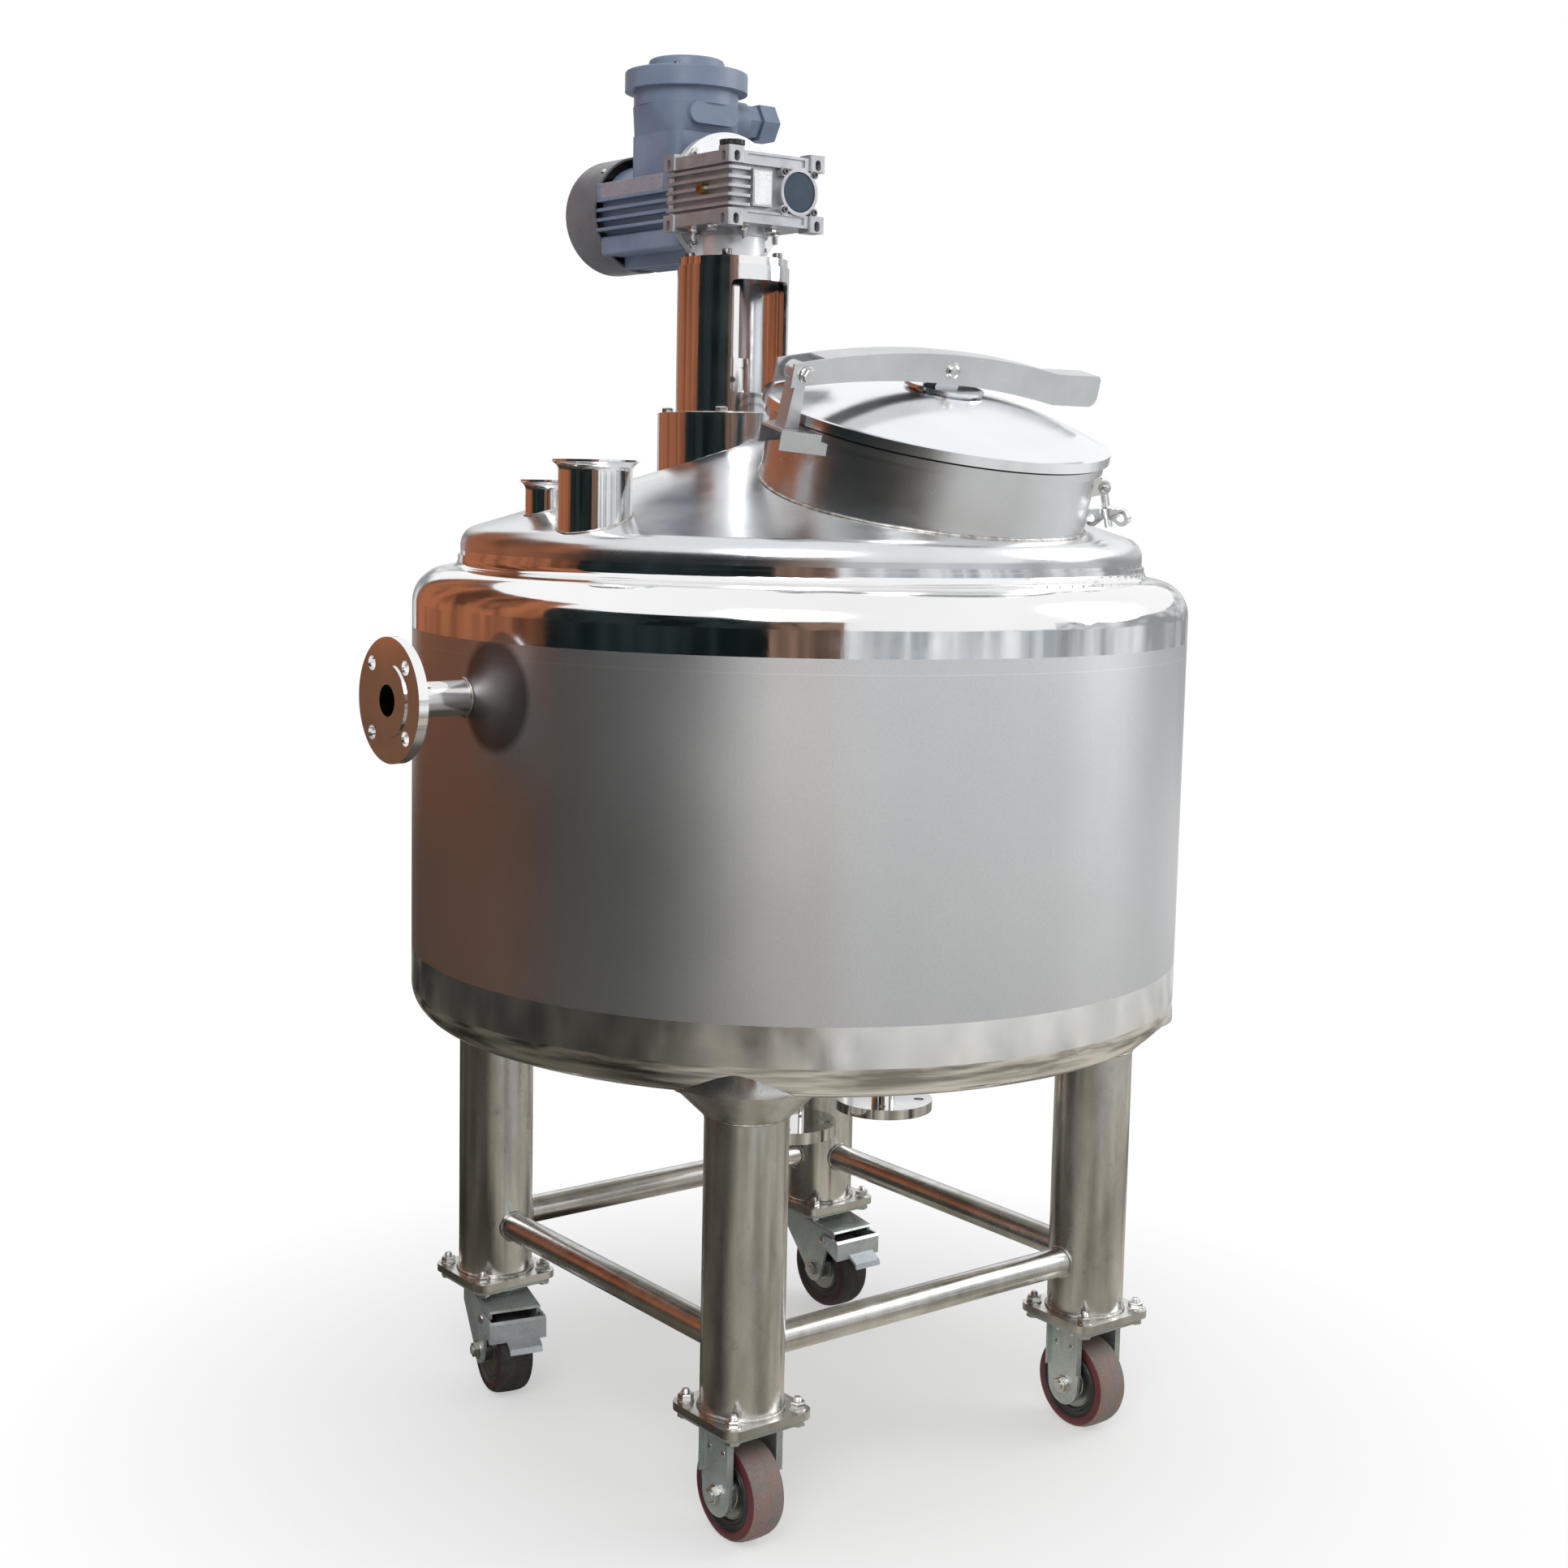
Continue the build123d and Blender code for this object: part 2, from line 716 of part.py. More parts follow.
    # Output hub over the spacer, with room for the shaft
    with BuildSketch(Plane.XY.offset(gear_low - gear_hub_depth)):
        with Locations((0, agitator_y)):
            Circle(gear_hub_radius)
    extrude(amount=gear_hub_depth)
    with BuildSketch(Plane.XY.offset(gear_low - gear_hub_depth)):
        with Locations((0, agitator_y)):
            Circle(shaft_radius + 4)
    extrude(amount=gear_hub_depth + gear_flange, mode=Mode.SUBTRACT)
gearbox_housing.part.label = "gearbox_housing"

with BuildPart() as worm_cap:
    with BuildSketch(Plane.XZ.offset(-agitator_y + gear_half_length - gear_waist)):
        with Locations((worm_offset, worm_z)):
            Circle(cap_radius)
    extrude(amount=gear_waist - 1)
    fillet(worm_cap.faces().sort_by(Axis.Y)[0].edges(), 1.5)
worm_cap.part.label = "worm_cap"

breather_x = -gear_back + lug_size / 2 + 4
breather_y = agitator_y - gear_half_length + lug_size / 2 + 4
with BuildPart() as gearbox_breather:
    with BuildSketch(Plane.XY.offset(gear_high + lug_rise)):
        with Locations((breather_x, breather_y)):
            Circle(breather_radius - 3)
    extrude(amount=2)
    with BuildSketch(Plane.XY.offset(gear_high + lug_rise + 2)):
        with Locations((breather_x, breather_y)):
            Circle(breather_radius)
            with PolarLocations(breather_radius + 0.6, 12):
                Circle(2, mode=Mode.SUBTRACT)
    extrude(amount=6)
gearbox_breather.part.label = "gearbox_breather"

with BuildPart() as oil_plug:
    with BuildSketch(Plane.YZ.offset(-gear_back - 2)):
        with Locations((agitator_y - 11, worm_z)):
            Circle(plug_radius)
            Circle(plug_radius - 4, mode=Mode.SUBTRACT)
    extrude(amount=gear_waist + 4)
    add(gearbox_housing.part, mode=Mode.SUBTRACT)
oil_plug.part.label = "oil_plug"

# Motor: finned frame with smooth pads, flange in front and fan cowl behind
motor_start = agitator_y + gear_half_length + motor_neck
body_start = motor_start + motor_front
cowl_start = body_start + motor_length
with BuildPart() as motor_flange:
    with BuildSketch(Plane.XZ.offset(-motor_start)):
        with Locations((worm_offset, worm_z)):
            Circle(motor_flange_radius)
    extrude(amount=-motor_front + 6)
    with BuildSketch(Plane.XZ.offset(-motor_start - motor_front + 6)):
        with Locations((worm_offset, worm_z)):
            Circle(motor_reach - 4)
    extrude(amount=-6)
motor_flange.part.label = "motor_flange"

with BuildPart() as motor_body:
    with BuildSketch(Plane.XZ.offset(-body_start)):
        with Locations((worm_offset, worm_z)):
            Circle(motor_radius)
            # Level fins on both sides
            for step in (-2, -1, 0, 1):
                with Locations((0, step * motor_fin_pitch)):
                    Rectangle(2 * motor_reach, motor_fin)
            # Upright fins below
            for step in (-2, -1, 0, 1, 2):
                with Locations((step * motor_fin_pitch, -motor_reach / 2)):
                    Rectangle(motor_fin, motor_reach)
            # Name plate pads above and foot pads below
            with Locations((0, 1.9 * motor_fin_pitch)):
                RectangleRounded(2 * motor_reach - 2, 1.7 * motor_fin_pitch, 3)
            with Locations((0, -3.6 * motor_fin_pitch)):
                RectangleRounded(1.76 * motor_reach, 1.9 * motor_fin_pitch, 3)
    extrude(amount=-motor_length)
    with BuildSketch(Plane.XY.offset(worm_z)):
        with Locations((worm_offset, box_y)):
            RectangleRounded(box_foot, box_foot, 14)
    extrude(amount=box_seam - worm_z)
motor_body.part.label = "motor_body"

with BuildPart() as fan_cowl:
    with BuildSketch(Plane.XZ.offset(-cowl_start)):
        with Locations((worm_offset, worm_z)):
            Circle(cowl_radius)
    extrude(amount=-cowl_length)
    fillet(fan_cowl.faces().sort_by(Axis.Y)[-1].edges(), cowl_round)
    with BuildSketch(Plane.XZ.offset(-cowl_start)):
        with Locations((worm_offset, worm_z)):
            Circle(cowl_radius - cowl_wall)
            Circle(motor_radius - 10, mode=Mode.SUBTRACT)
    extrude(amount=-cowl_length + cowl_round + cowl_wall, mode=Mode.SUBTRACT)
    # Air inlet rings in the rear face
    with BuildSketch(Plane.XZ.offset(-cowl_start - cowl_length)):
        with Locations((worm_offset, worm_z)):
            for ring in range(1, 5):
                Circle(ring * 2 * grille_ring + grille_ring)
                Circle(ring * 2 * grille_ring, mode=Mode.SUBTRACT)
    extrude(amount=5, mode=Mode.SUBTRACT)
fan_cowl.part.label = "fan_cowl"

# Terminal box: round above, square below, with a blanked entry in front
with BuildPart() as terminal_box:
    with BuildSketch(Plane.XY.offset(box_seam)):
        with Locations((worm_offset, box_y)):
            RectangleRounded(box_foot, box_foot, 18)
    with BuildSketch(Plane.XY.offset(box_lid_low - 22)):
        with Locations((worm_offset, box_y)):
            RectangleRounded(2 * box_radius - 4, 2 * box_radius - 4, box_radius - 10)
    loft()
    with BuildSketch(Plane.XY.offset(box_lid_low - 22)):
        with Locations((worm_offset, box_y)):
            Circle(box_radius)
    extrude(amount=22)
    with BuildSketch(Plane.XY.offset(box_lid_low)):
        with Locations((worm_offset, box_y)):
            Circle(box_lid_radius)
    extrude(amount=box_flange)
    with BuildSketch(Plane.XZ.offset(-box_y)):
        with Locations((worm_offset, gland_height - 8)):
            SlotOverall(84, 30)
    extrude(amount=box_foot / 2 + 14)
    with BuildSketch(Plane.YZ.offset(worm_offset)):
        with Locations((box_y, gland_height)):
            Circle(gland_neck)
    extrude(amount=box_radius + gland_reach)
terminal_box.part.label = "terminal_box"

with BuildPart() as terminal_lid:
    with BuildSketch(Plane.XY.offset(box_lid_low + box_flange)):
        with Locations((worm_offset, box_y)):
            Circle(box_lid_radius)
    extrude(amount=box_lid_thick)
    fillet(terminal_lid.faces().sort_by(Axis.Z)[-1].edges(), 3)
    with BuildSketch(Plane.XY.offset(box_lid_low + box_flange + box_lid_thick)):
        with Locations((worm_offset, box_y)):
            Circle(box_crown)
    extrude(amount=box_crown_rise, taper=12)
    fillet(terminal_lid.faces().sort_by(Axis.Z)[-1].edges(), 5)
terminal_lid.part.label = "terminal_lid"

gland_start = worm_offset + box_radius + gland_reach
with BuildPart() as cable_gland:
    with BuildSketch(Plane.YZ.offset(gland_start)):
        with Locations((box_y, gland_height)):
            RegularPolygon(gland_nut, 6)
    extrude(amount=20)
    with BuildSketch(Plane.YZ.offset(gland_start)):
        with Locations((box_y, gland_height)):
            Circle(gland_nut - 6)
    extrude(amount=30)
    with BuildSketch(Plane.YZ.offset(gland_start + 23)):
        with Locations((box_y, gland_height)):
            RegularPolygon(gland_cap, 6)
    extrude(amount=32)
    chamfer(cable_gland.faces().sort_by(Axis.X)[-1].edges(), 4)
    with BuildSketch(Plane.YZ.offset(gland_start + 30)):
        with Locations((box_y, gland_height)):
            Circle(gland_neck / 2.4)
    extrude(amount=40, mode=Mode.SUBTRACT)
cable_gland.part.label = "cable_gland"

# Agitator shaft, coupling and impeller
with BuildPart() as agitator_shaft:
    with BuildSketch(Plane.XY.offset(shaft_low)):
        with Locations((0, agitator_y)):
            Circle(shaft_radius)
    extrude(amount=gear_low + 10 - shaft_low)
agitator_shaft.part.label = "agitator_shaft"

with BuildPart() as shaft_coupling:
    with BuildSketch(Plane.XY.offset(coupling_top - coupling_length)):
        with Locations((0, agitator_y)):
            Circle(coupling_radius)
            Circle(shaft_radius, mode=Mode.SUBTRACT)
    extrude(amount=coupling_length)
    with BuildSketch(Plane.XY.offset(coupling_top - coupling_groove)):
        with Locations((0, agitator_y)):
            Circle(coupling_radius)
            Circle(coupling_radius - 2, mode=Mode.SUBTRACT)
    extrude(amount=2, mode=Mode.SUBTRACT)
shaft_coupling.part.label = "shaft_coupling"

with BuildPart() as impeller:
    with BuildSketch(Plane.XY.offset(shaft_low + 10)):
        with Locations((0, agitator_y)):
            Circle(shaft_radius + 10)
    extrude(amount=blade_height)
    for turn in range(3):
        with BuildSketch(Plane.XY.offset(shaft_low + 10)):
            with Locations(Location((0, agitator_y, 0), (0, 0, 120 * turn))):
                with Locations((blade_reach / 2, 0)):
                    Rectangle(blade_reach, blade_thick)
        extrude(amount=blade_height)
    with BuildSketch(Plane.XY.offset(shaft_low)):
        with Locations((0, agitator_y)):
            Circle(shaft_radius)
    extrude(amount=blade_height + 40, mode=Mode.SUBTRACT)
impeller.part.label = "impeller"

# Manway neck and its rolled ring
with BuildPart() as manway_neck:
    with BuildSketch(manway.offset(-70)):
        Circle(neck_radius)
        Circle(neck_radius - neck_wall, mode=Mode.SUBTRACT)
    extrude(amount=70 + neck_ring_high)
    with BuildSketch(manway.offset(neck_ring_low)):
        Circle(neck_ring_radius)
        Circle(neck_radius - neck_wall, mode=Mode.SUBTRACT)
    extrude(amount=neck_ring_high - neck_ring_low)
    add(roof_envelope.part, mode=Mode.SUBTRACT)
manway_neck.part.label = "manway_neck"

lid_low = neck_ring_high + gasket_thick
lid_top = lid_low + lid_rim
with BuildPart() as lid_gasket:
    with BuildSketch(manway.offset(neck_ring_high + weld_gap)):
        Circle(neck_ring_radius - 2)
        Circle(neck_radius - neck_wall, mode=Mode.SUBTRACT)
    extrude(amount=gasket_thick - weld_gap)
lid_gasket.part.label = "lid_gasket"

lid_span = lid_radius - 8
dome_radius = (lid_span**2 + lid_rise**2) / (2 * lid_rise)
with BuildPart() as manway_lid:
    with BuildSketch(manway_side):
        with BuildLine():
            RadiusArc((0, lid_top + lid_rise), (lid_span, lid_top), dome_radius)
            Polyline(
                (lid_span, lid_top),
                (lid_radius, lid_top),
                (lid_radius, lid_low),
                (lid_radius - lid_sheet, lid_low),
                (lid_radius - lid_sheet, lid_top - lid_sheet),
                (lid_span, lid_top - lid_sheet),
            )
            RadiusArc((lid_span, lid_top - lid_sheet), (0, lid_top + lid_rise - lid_sheet), -dome_radius)
            Line((0, lid_top + lid_rise - lid_sheet), (0, lid_top + lid_rise))
        make_face()
    revolve(axis=Axis(manway.origin, manway.z_dir))
    with BuildSketch(manway.offset(lid_top + lid_rise - 8)):
        Circle(hub_radius - 8)
    extrude(amount=8)
    with BuildSketch(manway.offset(lid_top + lid_rise)):
        Circle(hub_radius)
    extrude(amount=hub_thick)
    with BuildSketch(manway_side.offset(-lid_lug / 2)):
        with BuildLine():
            Polyline(
                (lid_pin_x - 20, lid_top + lid_rise + 2),
                (lid_pin_x - 9, lid_pin_z),
                (lid_pin_x + 9, lid_pin_z),
                (lid_pin_x + 20, lid_top + lid_rise + 2),
                close=True,
            )
        make_face()
        with Locations((lid_pin_x, lid_pin_z)):
            Circle(9)
    extrude(amount=lid_lug)
    with BuildSketch(manway_side.offset(-lever_width / 2 - 4)):
        with Locations((lid_pin_x, lid_pin_z)):
            Circle(lever_pin_radius - weld_gap)
    extrude(amount=lever_width + 8)
manway_lid.part.label = "manway_lid"

# Lever: an inverted channel arched over the lid, its web cut back at the hinge
lever_web = lever_crown - lever_sheet
with BuildPart() as lid_lever:
    with BuildSketch(manway_side.offset(-lever_width / 2)):
        with BuildLine():
            crown = ThreePointArc((-lever_back, 171), (lid_pin_x, lever_crown), (174, 178))
            grip = Line(crown @ 1, (lever_reach - 4, 179))
            end = Line(grip @ 1, (lever_reach, 175))
            nose = Line(end @ 1, (lever_reach, 152))
            corner = RadiusArc(nose @ 1, (lever_reach - 14, 139), 14)
            under = Line(corner @ 1, (172, 139))
            belly = ThreePointArc(under @ 1, (lid_pin_x, lever_under), (-lever_back, 143))
            Line(belly @ 1, crown @ 0)
        make_face()
    extrude(amount=lever_width)
    with BuildSketch(manway_side.offset(-lever_width / 2 + lever_sheet)):
        with BuildLine():
            crown = ThreePointArc((-lever_back, 168), (lid_pin_x, lever_web), (173, 175))
            grip = Line(crown @ 1, (lever_reach - lever_sheet, 176))
            nose = Line(grip @ 1, (lever_reach - lever_sheet, 100))
            under = Line(nose @ 1, (-lever_back, 100))
            Line(under @ 1, crown @ 0)
        make_face()
    extrude(amount=lever_width - 2 * lever_sheet, mode=Mode.SUBTRACT)
    with BuildSketch(manway_side.offset(-lever_width / 2 + lever_sheet)):
        with Locations((-(lever_back + lever_web_start) / 2, lever_crown)):
            Rectangle(lever_back - lever_web_start, 80)
    extrude(amount=lever_width - 2 * lever_sheet, mode=Mode.SUBTRACT)
    with BuildSketch(manway_side.offset(-lever_width / 2)):
        with Locations((lever_pin_x, lever_pin_z)):
            Circle(lever_pin_radius + running_gap)
        with Locations((lid_pin_x, lid_pin_z)):
            Circle(lever_pin_radius)
    extrude(amount=lever_width, mode=Mode.SUBTRACT)
lid_lever.part.label = "lid_lever"

# Hinge on the left of the neck: folded bracket, tapered post and the lever's pin
with BuildPart() as hinge_bracket:
    with BuildSketch(manway.offset(bracket_low)):
        with BuildLine():
            Polyline(
                (-bracket_reach, -bracket_half),
                (-neck_radius + 12, -bracket_root_half),
                (-neck_radius + 12, bracket_root_half),
                (-bracket_reach, bracket_half),
                close=True,
            )
        make_face()
    extrude(amount=bracket_top - bracket_low)
    with BuildSketch(manway.offset(bracket_low)):
        with BuildLine():
            Polyline(
                (-bracket_reach - 5, -bracket_half + bracket_sheet),
                (-neck_radius + 12, -bracket_root_half + bracket_sheet + 2),
                (-neck_radius + 12, bracket_root_half - bracket_sheet - 2),
                (-bracket_reach - 5, bracket_half - bracket_sheet),
                close=True,
            )
        make_face()
    extrude(amount=bracket_top - bracket_low - bracket_sheet, mode=Mode.SUBTRACT)
    with BuildSketch(manway.offset(bracket_low)):
        Circle(neck_radius + weld_gap)
    extrude(amount=bracket_top, mode=Mode.SUBTRACT)
    with BuildSketch(manway.offset(neck_ring_low - weld_gap)):
        Circle(neck_ring_radius + weld_gap)
    extrude(amount=bracket_top, mode=Mode.SUBTRACT)
hinge_bracket.part.label = "hinge_bracket"

with BuildPart() as hinge_post:
    with BuildSketch(manway_side.offset(-post_width / 2)):
        with BuildLine():
            Polyline(
                (-post_outer - 5, bracket_top + weld_gap),
                (-post_outer, lever_pin_z),
                (-post_inner, lever_pin_z),
                (-post_inner + 2, bracket_top + weld_gap),
                close=True,
            )
        make_face()
        with Locations((lever_pin_x, lever_pin_z)):
            Circle(post_head)
    extrude(amount=post_width)
    with BuildSketch(manway_side.offset(-lever_width / 2 - 4)):
        with Locations((lever_pin_x, lever_pin_z)):
            Circle(lever_pin_radius)
    extrude(amount=lever_width + 8)
hinge_post.part.label = "hinge_post"

# Swing bolts on the right of the neck, each an eye bolt with a wing nut in a pair of ears
bolts = {}
for name, angle, pivot, lean, wing_turn, nut_place in (
    ("front", front_bolt_angle, front_bolt_pivot, front_bolt_lean, front_wing_turn, front_nut_place),
    ("side", side_bolt_angle, side_bolt_pivot, side_bolt_lean, side_wing_turn, side_nut_place),
):
    turned = Plane(
        manway.origin, x_dir=manway.x_dir.rotate(Axis((0, 0, 0), manway.z_dir), angle), z_dir=manway.z_dir
    )
    turned_side = Plane(origin=turned.origin, x_dir=turned.x_dir, z_dir=-turned.y_dir)
    swung = Plane(
        origin=turned_side.from_local_coords((pivot, bolt_pivot_rise, 0)),
        x_dir=turned.x_dir * sin(radians(lean)) - turned.z_dir * cos(radians(lean)),
        z_dir=turned_side.z_dir,
    )
    with BuildPart() as ears:
        with BuildSketch(turned_side.offset(-ear_gap / 2 - ear_sheet)):
            with BuildLine():
                Polyline(
                    (neck_radius - neck_wall, bolt_pivot_rise - 15),
                    (pivot, bolt_pivot_rise - 8),
                    (pivot, bolt_pivot_rise + 8),
                    (neck_radius - neck_wall, bolt_pivot_rise + 15),
                    close=True,
                )
            make_face()
            with Locations((pivot, bolt_pivot_rise)):
                Circle(8)
        extrude(amount=ear_gap + 2 * ear_sheet)
        with BuildSketch(turned_side.offset(-ear_gap / 2)):
            with Locations((pivot, bolt_pivot_rise)):
                Rectangle(80, 80)
        extrude(amount=ear_gap, mode=Mode.SUBTRACT)
        with BuildSketch(turned_side.offset(-ear_gap / 2 - ear_sheet - 3)):
            with Locations((pivot, bolt_pivot_rise)):
                Circle(ear_pin_radius)
        extrude(amount=ear_gap + 2 * ear_sheet + 6)
        with BuildSketch(turned):
            Circle(neck_radius + weld_gap)
        extrude(amount=neck_ring_low, mode=Mode.SUBTRACT)
    ears.part.label = f"bolt_ears_{name}"
    bolts[ears.part.label] = ears

    shank = Plane(origin=swung.origin, x_dir=swung.z_dir, z_dir=swung.x_dir)
    with BuildPart() as swing_bolt:
        with BuildSketch(swung.offset(-ear_gap / 2 + side_play)):
            Circle(bolt_eye_radius)
        extrude(amount=ear_gap - 2 * side_play)
        with BuildSketch(shank):
            Circle(bolt_radius)
        extrude(amount=nut_place + nut_height + bolt_end)
        chamfer(swing_bolt.edges().sort_by(Axis(swung.origin, swung.x_dir))[-1], 1)
        with BuildSketch(swung.offset(-ear_gap / 2)):
            Circle(ear_pin_radius + running_gap)
        extrude(amount=ear_gap, mode=Mode.SUBTRACT)
    swing_bolt.part.label = f"swing_bolt_{name}"
    bolts[swing_bolt.part.label] = swing_bolt

    wing_x = swung.z_dir * cos(radians(wing_turn)) + swung.y_dir * sin(radians(wing_turn))
    nut_seat = shank.offset(nut_place)
    wings = Plane(origin=nut_seat.origin, x_dir=wing_x, z_dir=wing_x.cross(swung.x_dir))
    with BuildPart() as wing_nut:
        with BuildSketch(nut_seat):
            Circle(nut_radius)
        extrude(amount=nut_height, taper=12)
        with BuildSketch(wings):
            for way in (-1, 1):
                with BuildLine():
                    Polyline(
                        (0, 1),
                        (way * (wing_reach - 14), 2),
                        (way * (wing_reach - 12), wing_lobe + 13),
                        (0, nut_height - 1),
                        close=True,
                    )
                make_face()
                with Locations((way * (wing_reach - wing_lobe), wing_lobe + 2)):
                    Circle(wing_lobe)
                    Circle(wing_lobe / 2, mode=Mode.SUBTRACT)
        extrude(amount=wing_sheet / 2, both=True)
        with BuildSketch(nut_seat.offset(-1)):
            Circle(bolt_radius + running_gap)
        extrude(amount=2 * nut_place, mode=Mode.SUBTRACT)
    wing_nut.part.label = f"wing_nut_{name}"
    bolts[wing_nut.part.label] = wing_nut

# Casters: rigid ones in front, swivel ones with a brake at the rear
casters = {}
axle_z = wheel_radius
plate_low = pad_low - caster_plate
inner = hub_width / 2 + side_play
outer = inner + fork_sheet
for side, sx in (("left", -1), ("right", 1)):
    for end, sy in (("front", -1), ("rear", 1)):
        trail = caster_trail if end == "rear" else 0.0
        turn = left_swivel if (end, side) == ("rear", "left") else 0.0
        foot = Plane(origin=(sx * leg_offset, sy * leg_offset, 0))
        base = foot.rotated((0, 0, -turn))
        cheek = Plane(origin=base.origin, x_dir=base.y_dir, z_dir=base.x_dir)
        with BuildPart() as wheel:
            with BuildSketch(cheek.offset(-wheel_width / 2)):
                with Locations((-trail, axle_z)):
                    Circle(wheel_radius)
            extrude(amount=wheel_width)
            fillet(wheel.edges().filter_by(GeomType.CIRCLE), wheel_round)
            for rim_face in (-wheel_width / 2, wheel_width / 2 - rim_recess):
                with BuildSketch(cheek.offset(rim_face)):
                    with Locations((-trail, axle_z)):
                        Circle(rim_radius)
                extrude(amount=rim_recess, mode=Mode.SUBTRACT)
            with BuildSketch(cheek.offset(-hub_width / 2)):
                with Locations((-trail, axle_z)):
                    Circle(hub_radius_wheel)
            extrude(amount=hub_width)
            with BuildSketch(cheek.offset(-hub_width / 2)):
                with Locations((-trail, axle_z)):
                    Circle(axle_radius + running_gap)
            extrude(amount=hub_width, mode=Mode.SUBTRACT)
        wheel.part.label = f"wheel_{end}_{side}"
        casters[wheel.part.label] = wheel

        with BuildPart() as fork:
            if end == "front":
                fork_top = plate_low
                with BuildSketch(base.offset(plate_low)):
                    RectangleRounded(caster_plate_size, caster_plate_size, plate_corner_wheel)
                extrude(amount=caster_plate)
                outline = [
                    (-rigid_half, fork_top),
                    (rigid_half, fork_top),
                    (rigid_half, axle_z + 22),
                    (rigid_eye, axle_z),
                    (-rigid_eye, axle_z),
                    (-rigid_half, axle_z + 22),
                ]
            else:
                fork_top = plate_low - swivel_height - weld_gap
                with BuildSketch(base.offset(fork_top - fork_sheet)):
                    RectangleRounded(2 * outer, 2 * swivel_radius, 10)
                extrude(amount=fork_sheet)
                outline = [
                    (swivel_radius - 6, fork_top - 1),
                    (brake_face_y + 14, brake_top),
                    (brake_face_y + 14, brake_top - 8),
                    (brake_pivot_y - 8, brake_pivot_z - 8),
                    (-trail - fork_eye, axle_z),
                    (-trail + fork_eye, axle_z),
                    (swivel_radius - 6, fork_top - 28),
                ]
                # Sloping hood over the wheel
                with BuildSketch(cheek.offset(-outer)):
                    with BuildLine():
                        Polyline(
                            (-swivel_radius + 8, fork_top),
                            (brake_face_y + 12, brake_top + 3),
                            (brake_face_y + 10, brake_top),
                            (-swivel_radius + 8, fork_top - fork_sheet),
                            close=True,
                        )
                    make_face()
                extrude(amount=2 * outer)
            for cheek_face in (-outer, inner):
                with BuildSketch(cheek.offset(cheek_face)):
                    with BuildLine():
                        Polyline(*outline, close=True)
                    make_face()
                    with Locations((-trail, axle_z)):
                        Circle(rigid_eye if end == "front" else fork_eye)
                extrude(amount=fork_sheet)
            with BuildSketch(cheek.offset(-outer - 10)):
                with Locations((-trail, axle_z)):
                    Circle(axle_radius)
            extrude(amount=2 * outer + 20)
            if end == "front":
                # Stiffening lips along the upright edges of both cheeks
                for lip_y in (-rigid_half, rigid_half - 3):
                    for lip_face in (-outer - 5, outer):
                        with BuildSketch(cheek.offset(lip_face)):
                            with Locations((lip_y + 1.5, (fork_top + axle_z + 22) / 2)):
                                Rectangle(3, fork_top - axle_z - 22)
                        extrude(amount=5)
            else:
                with BuildSketch(cheek.offset(-outer - pedal_play - brake_sheet - 2)):
                    with Locations((brake_pivot_y, brake_pivot_z)):
                        Circle(brake_pin_radius)
                extrude(amount=brake_sheet + pedal_play + 2 + fork_sheet)
                with BuildSketch(cheek.offset(inner)):
                    with Locations((brake_pivot_y, brake_pivot_z)):
                        Circle(brake_pin_radius)
                extrude(amount=brake_sheet + pedal_play + 2 + fork_sheet)
        fork.part.label = f"fork_{end}_{side}"
        casters[fork.part.label] = fork

        if end == "rear":
            with BuildPart() as plate:
                with BuildSketch(foot.offset(plate_low)):
                    RectangleRounded(caster_plate_size, caster_plate_size, plate_corner_wheel)
                extrude(amount=caster_plate)
                with BuildSketch(foot.offset(plate_low - swivel_height)):
                    Circle(swivel_radius)
                extrude(amount=swivel_height)
            plate.part.label = f"caster_plate_{end}_{side}"
            casters[plate.part.label] = plate

            arm_out = outer + pedal_play + brake_sheet
            with BuildPart() as pedal:
                # Front face and the two arms that reach back to the pins
                with BuildSketch(cheek.offset(-arm_out)):
                    with BuildLine():
                        Polyline(
                            (brake_pivot_y, brake_pivot_z + 8),
                            (brake_pivot_y, brake_pivot_z - 8),
                            (brake_face_y, brake_low),
                            (brake_face_y - brake_sheet, brake_low),
                            (brake_face_y - brake_sheet, brake_low + 26),
                            (brake_face_y, brake_low + 30),
                            close=True,
                        )
                    make_face()
                    with Locations((brake_pivot_y, brake_pivot_z)):
                        Circle(8)
                        Circle(brake_pin_radius + running_gap, mode=Mode.SUBTRACT)
                extrude(amount=2 * arm_out)
                with BuildSketch(cheek.offset(-outer - pedal_play)):
                    with Locations((brake_face_y + 60, brake_pivot_z)):
                        Rectangle(120, 120)
                extrude(amount=2 * (outer + pedal_play), mode=Mode.SUBTRACT)
                # Tread of the pedal, bent down from the face
                with BuildSketch(cheek.offset(-pedal_width / 2 + 6)):
                    with BuildLine():
                        Polyline(
                            (brake_face_y, brake_low + 8),
                            (brake_face_y - 20, brake_low - 4),
                            (brake_face_y - 22, brake_low - 12),
                            (brake_face_y - 19, brake_low - 12),
                            (brake_face_y - 17, brake_low - 6),
                            (brake_face_y, brake_low + 3),
                            close=True,
                        )
                    make_face()
                extrude(amount=pedal_width)
            pedal.part.label = f"brake_pedal_{side}"
            casters[pedal.part.label] = pedal

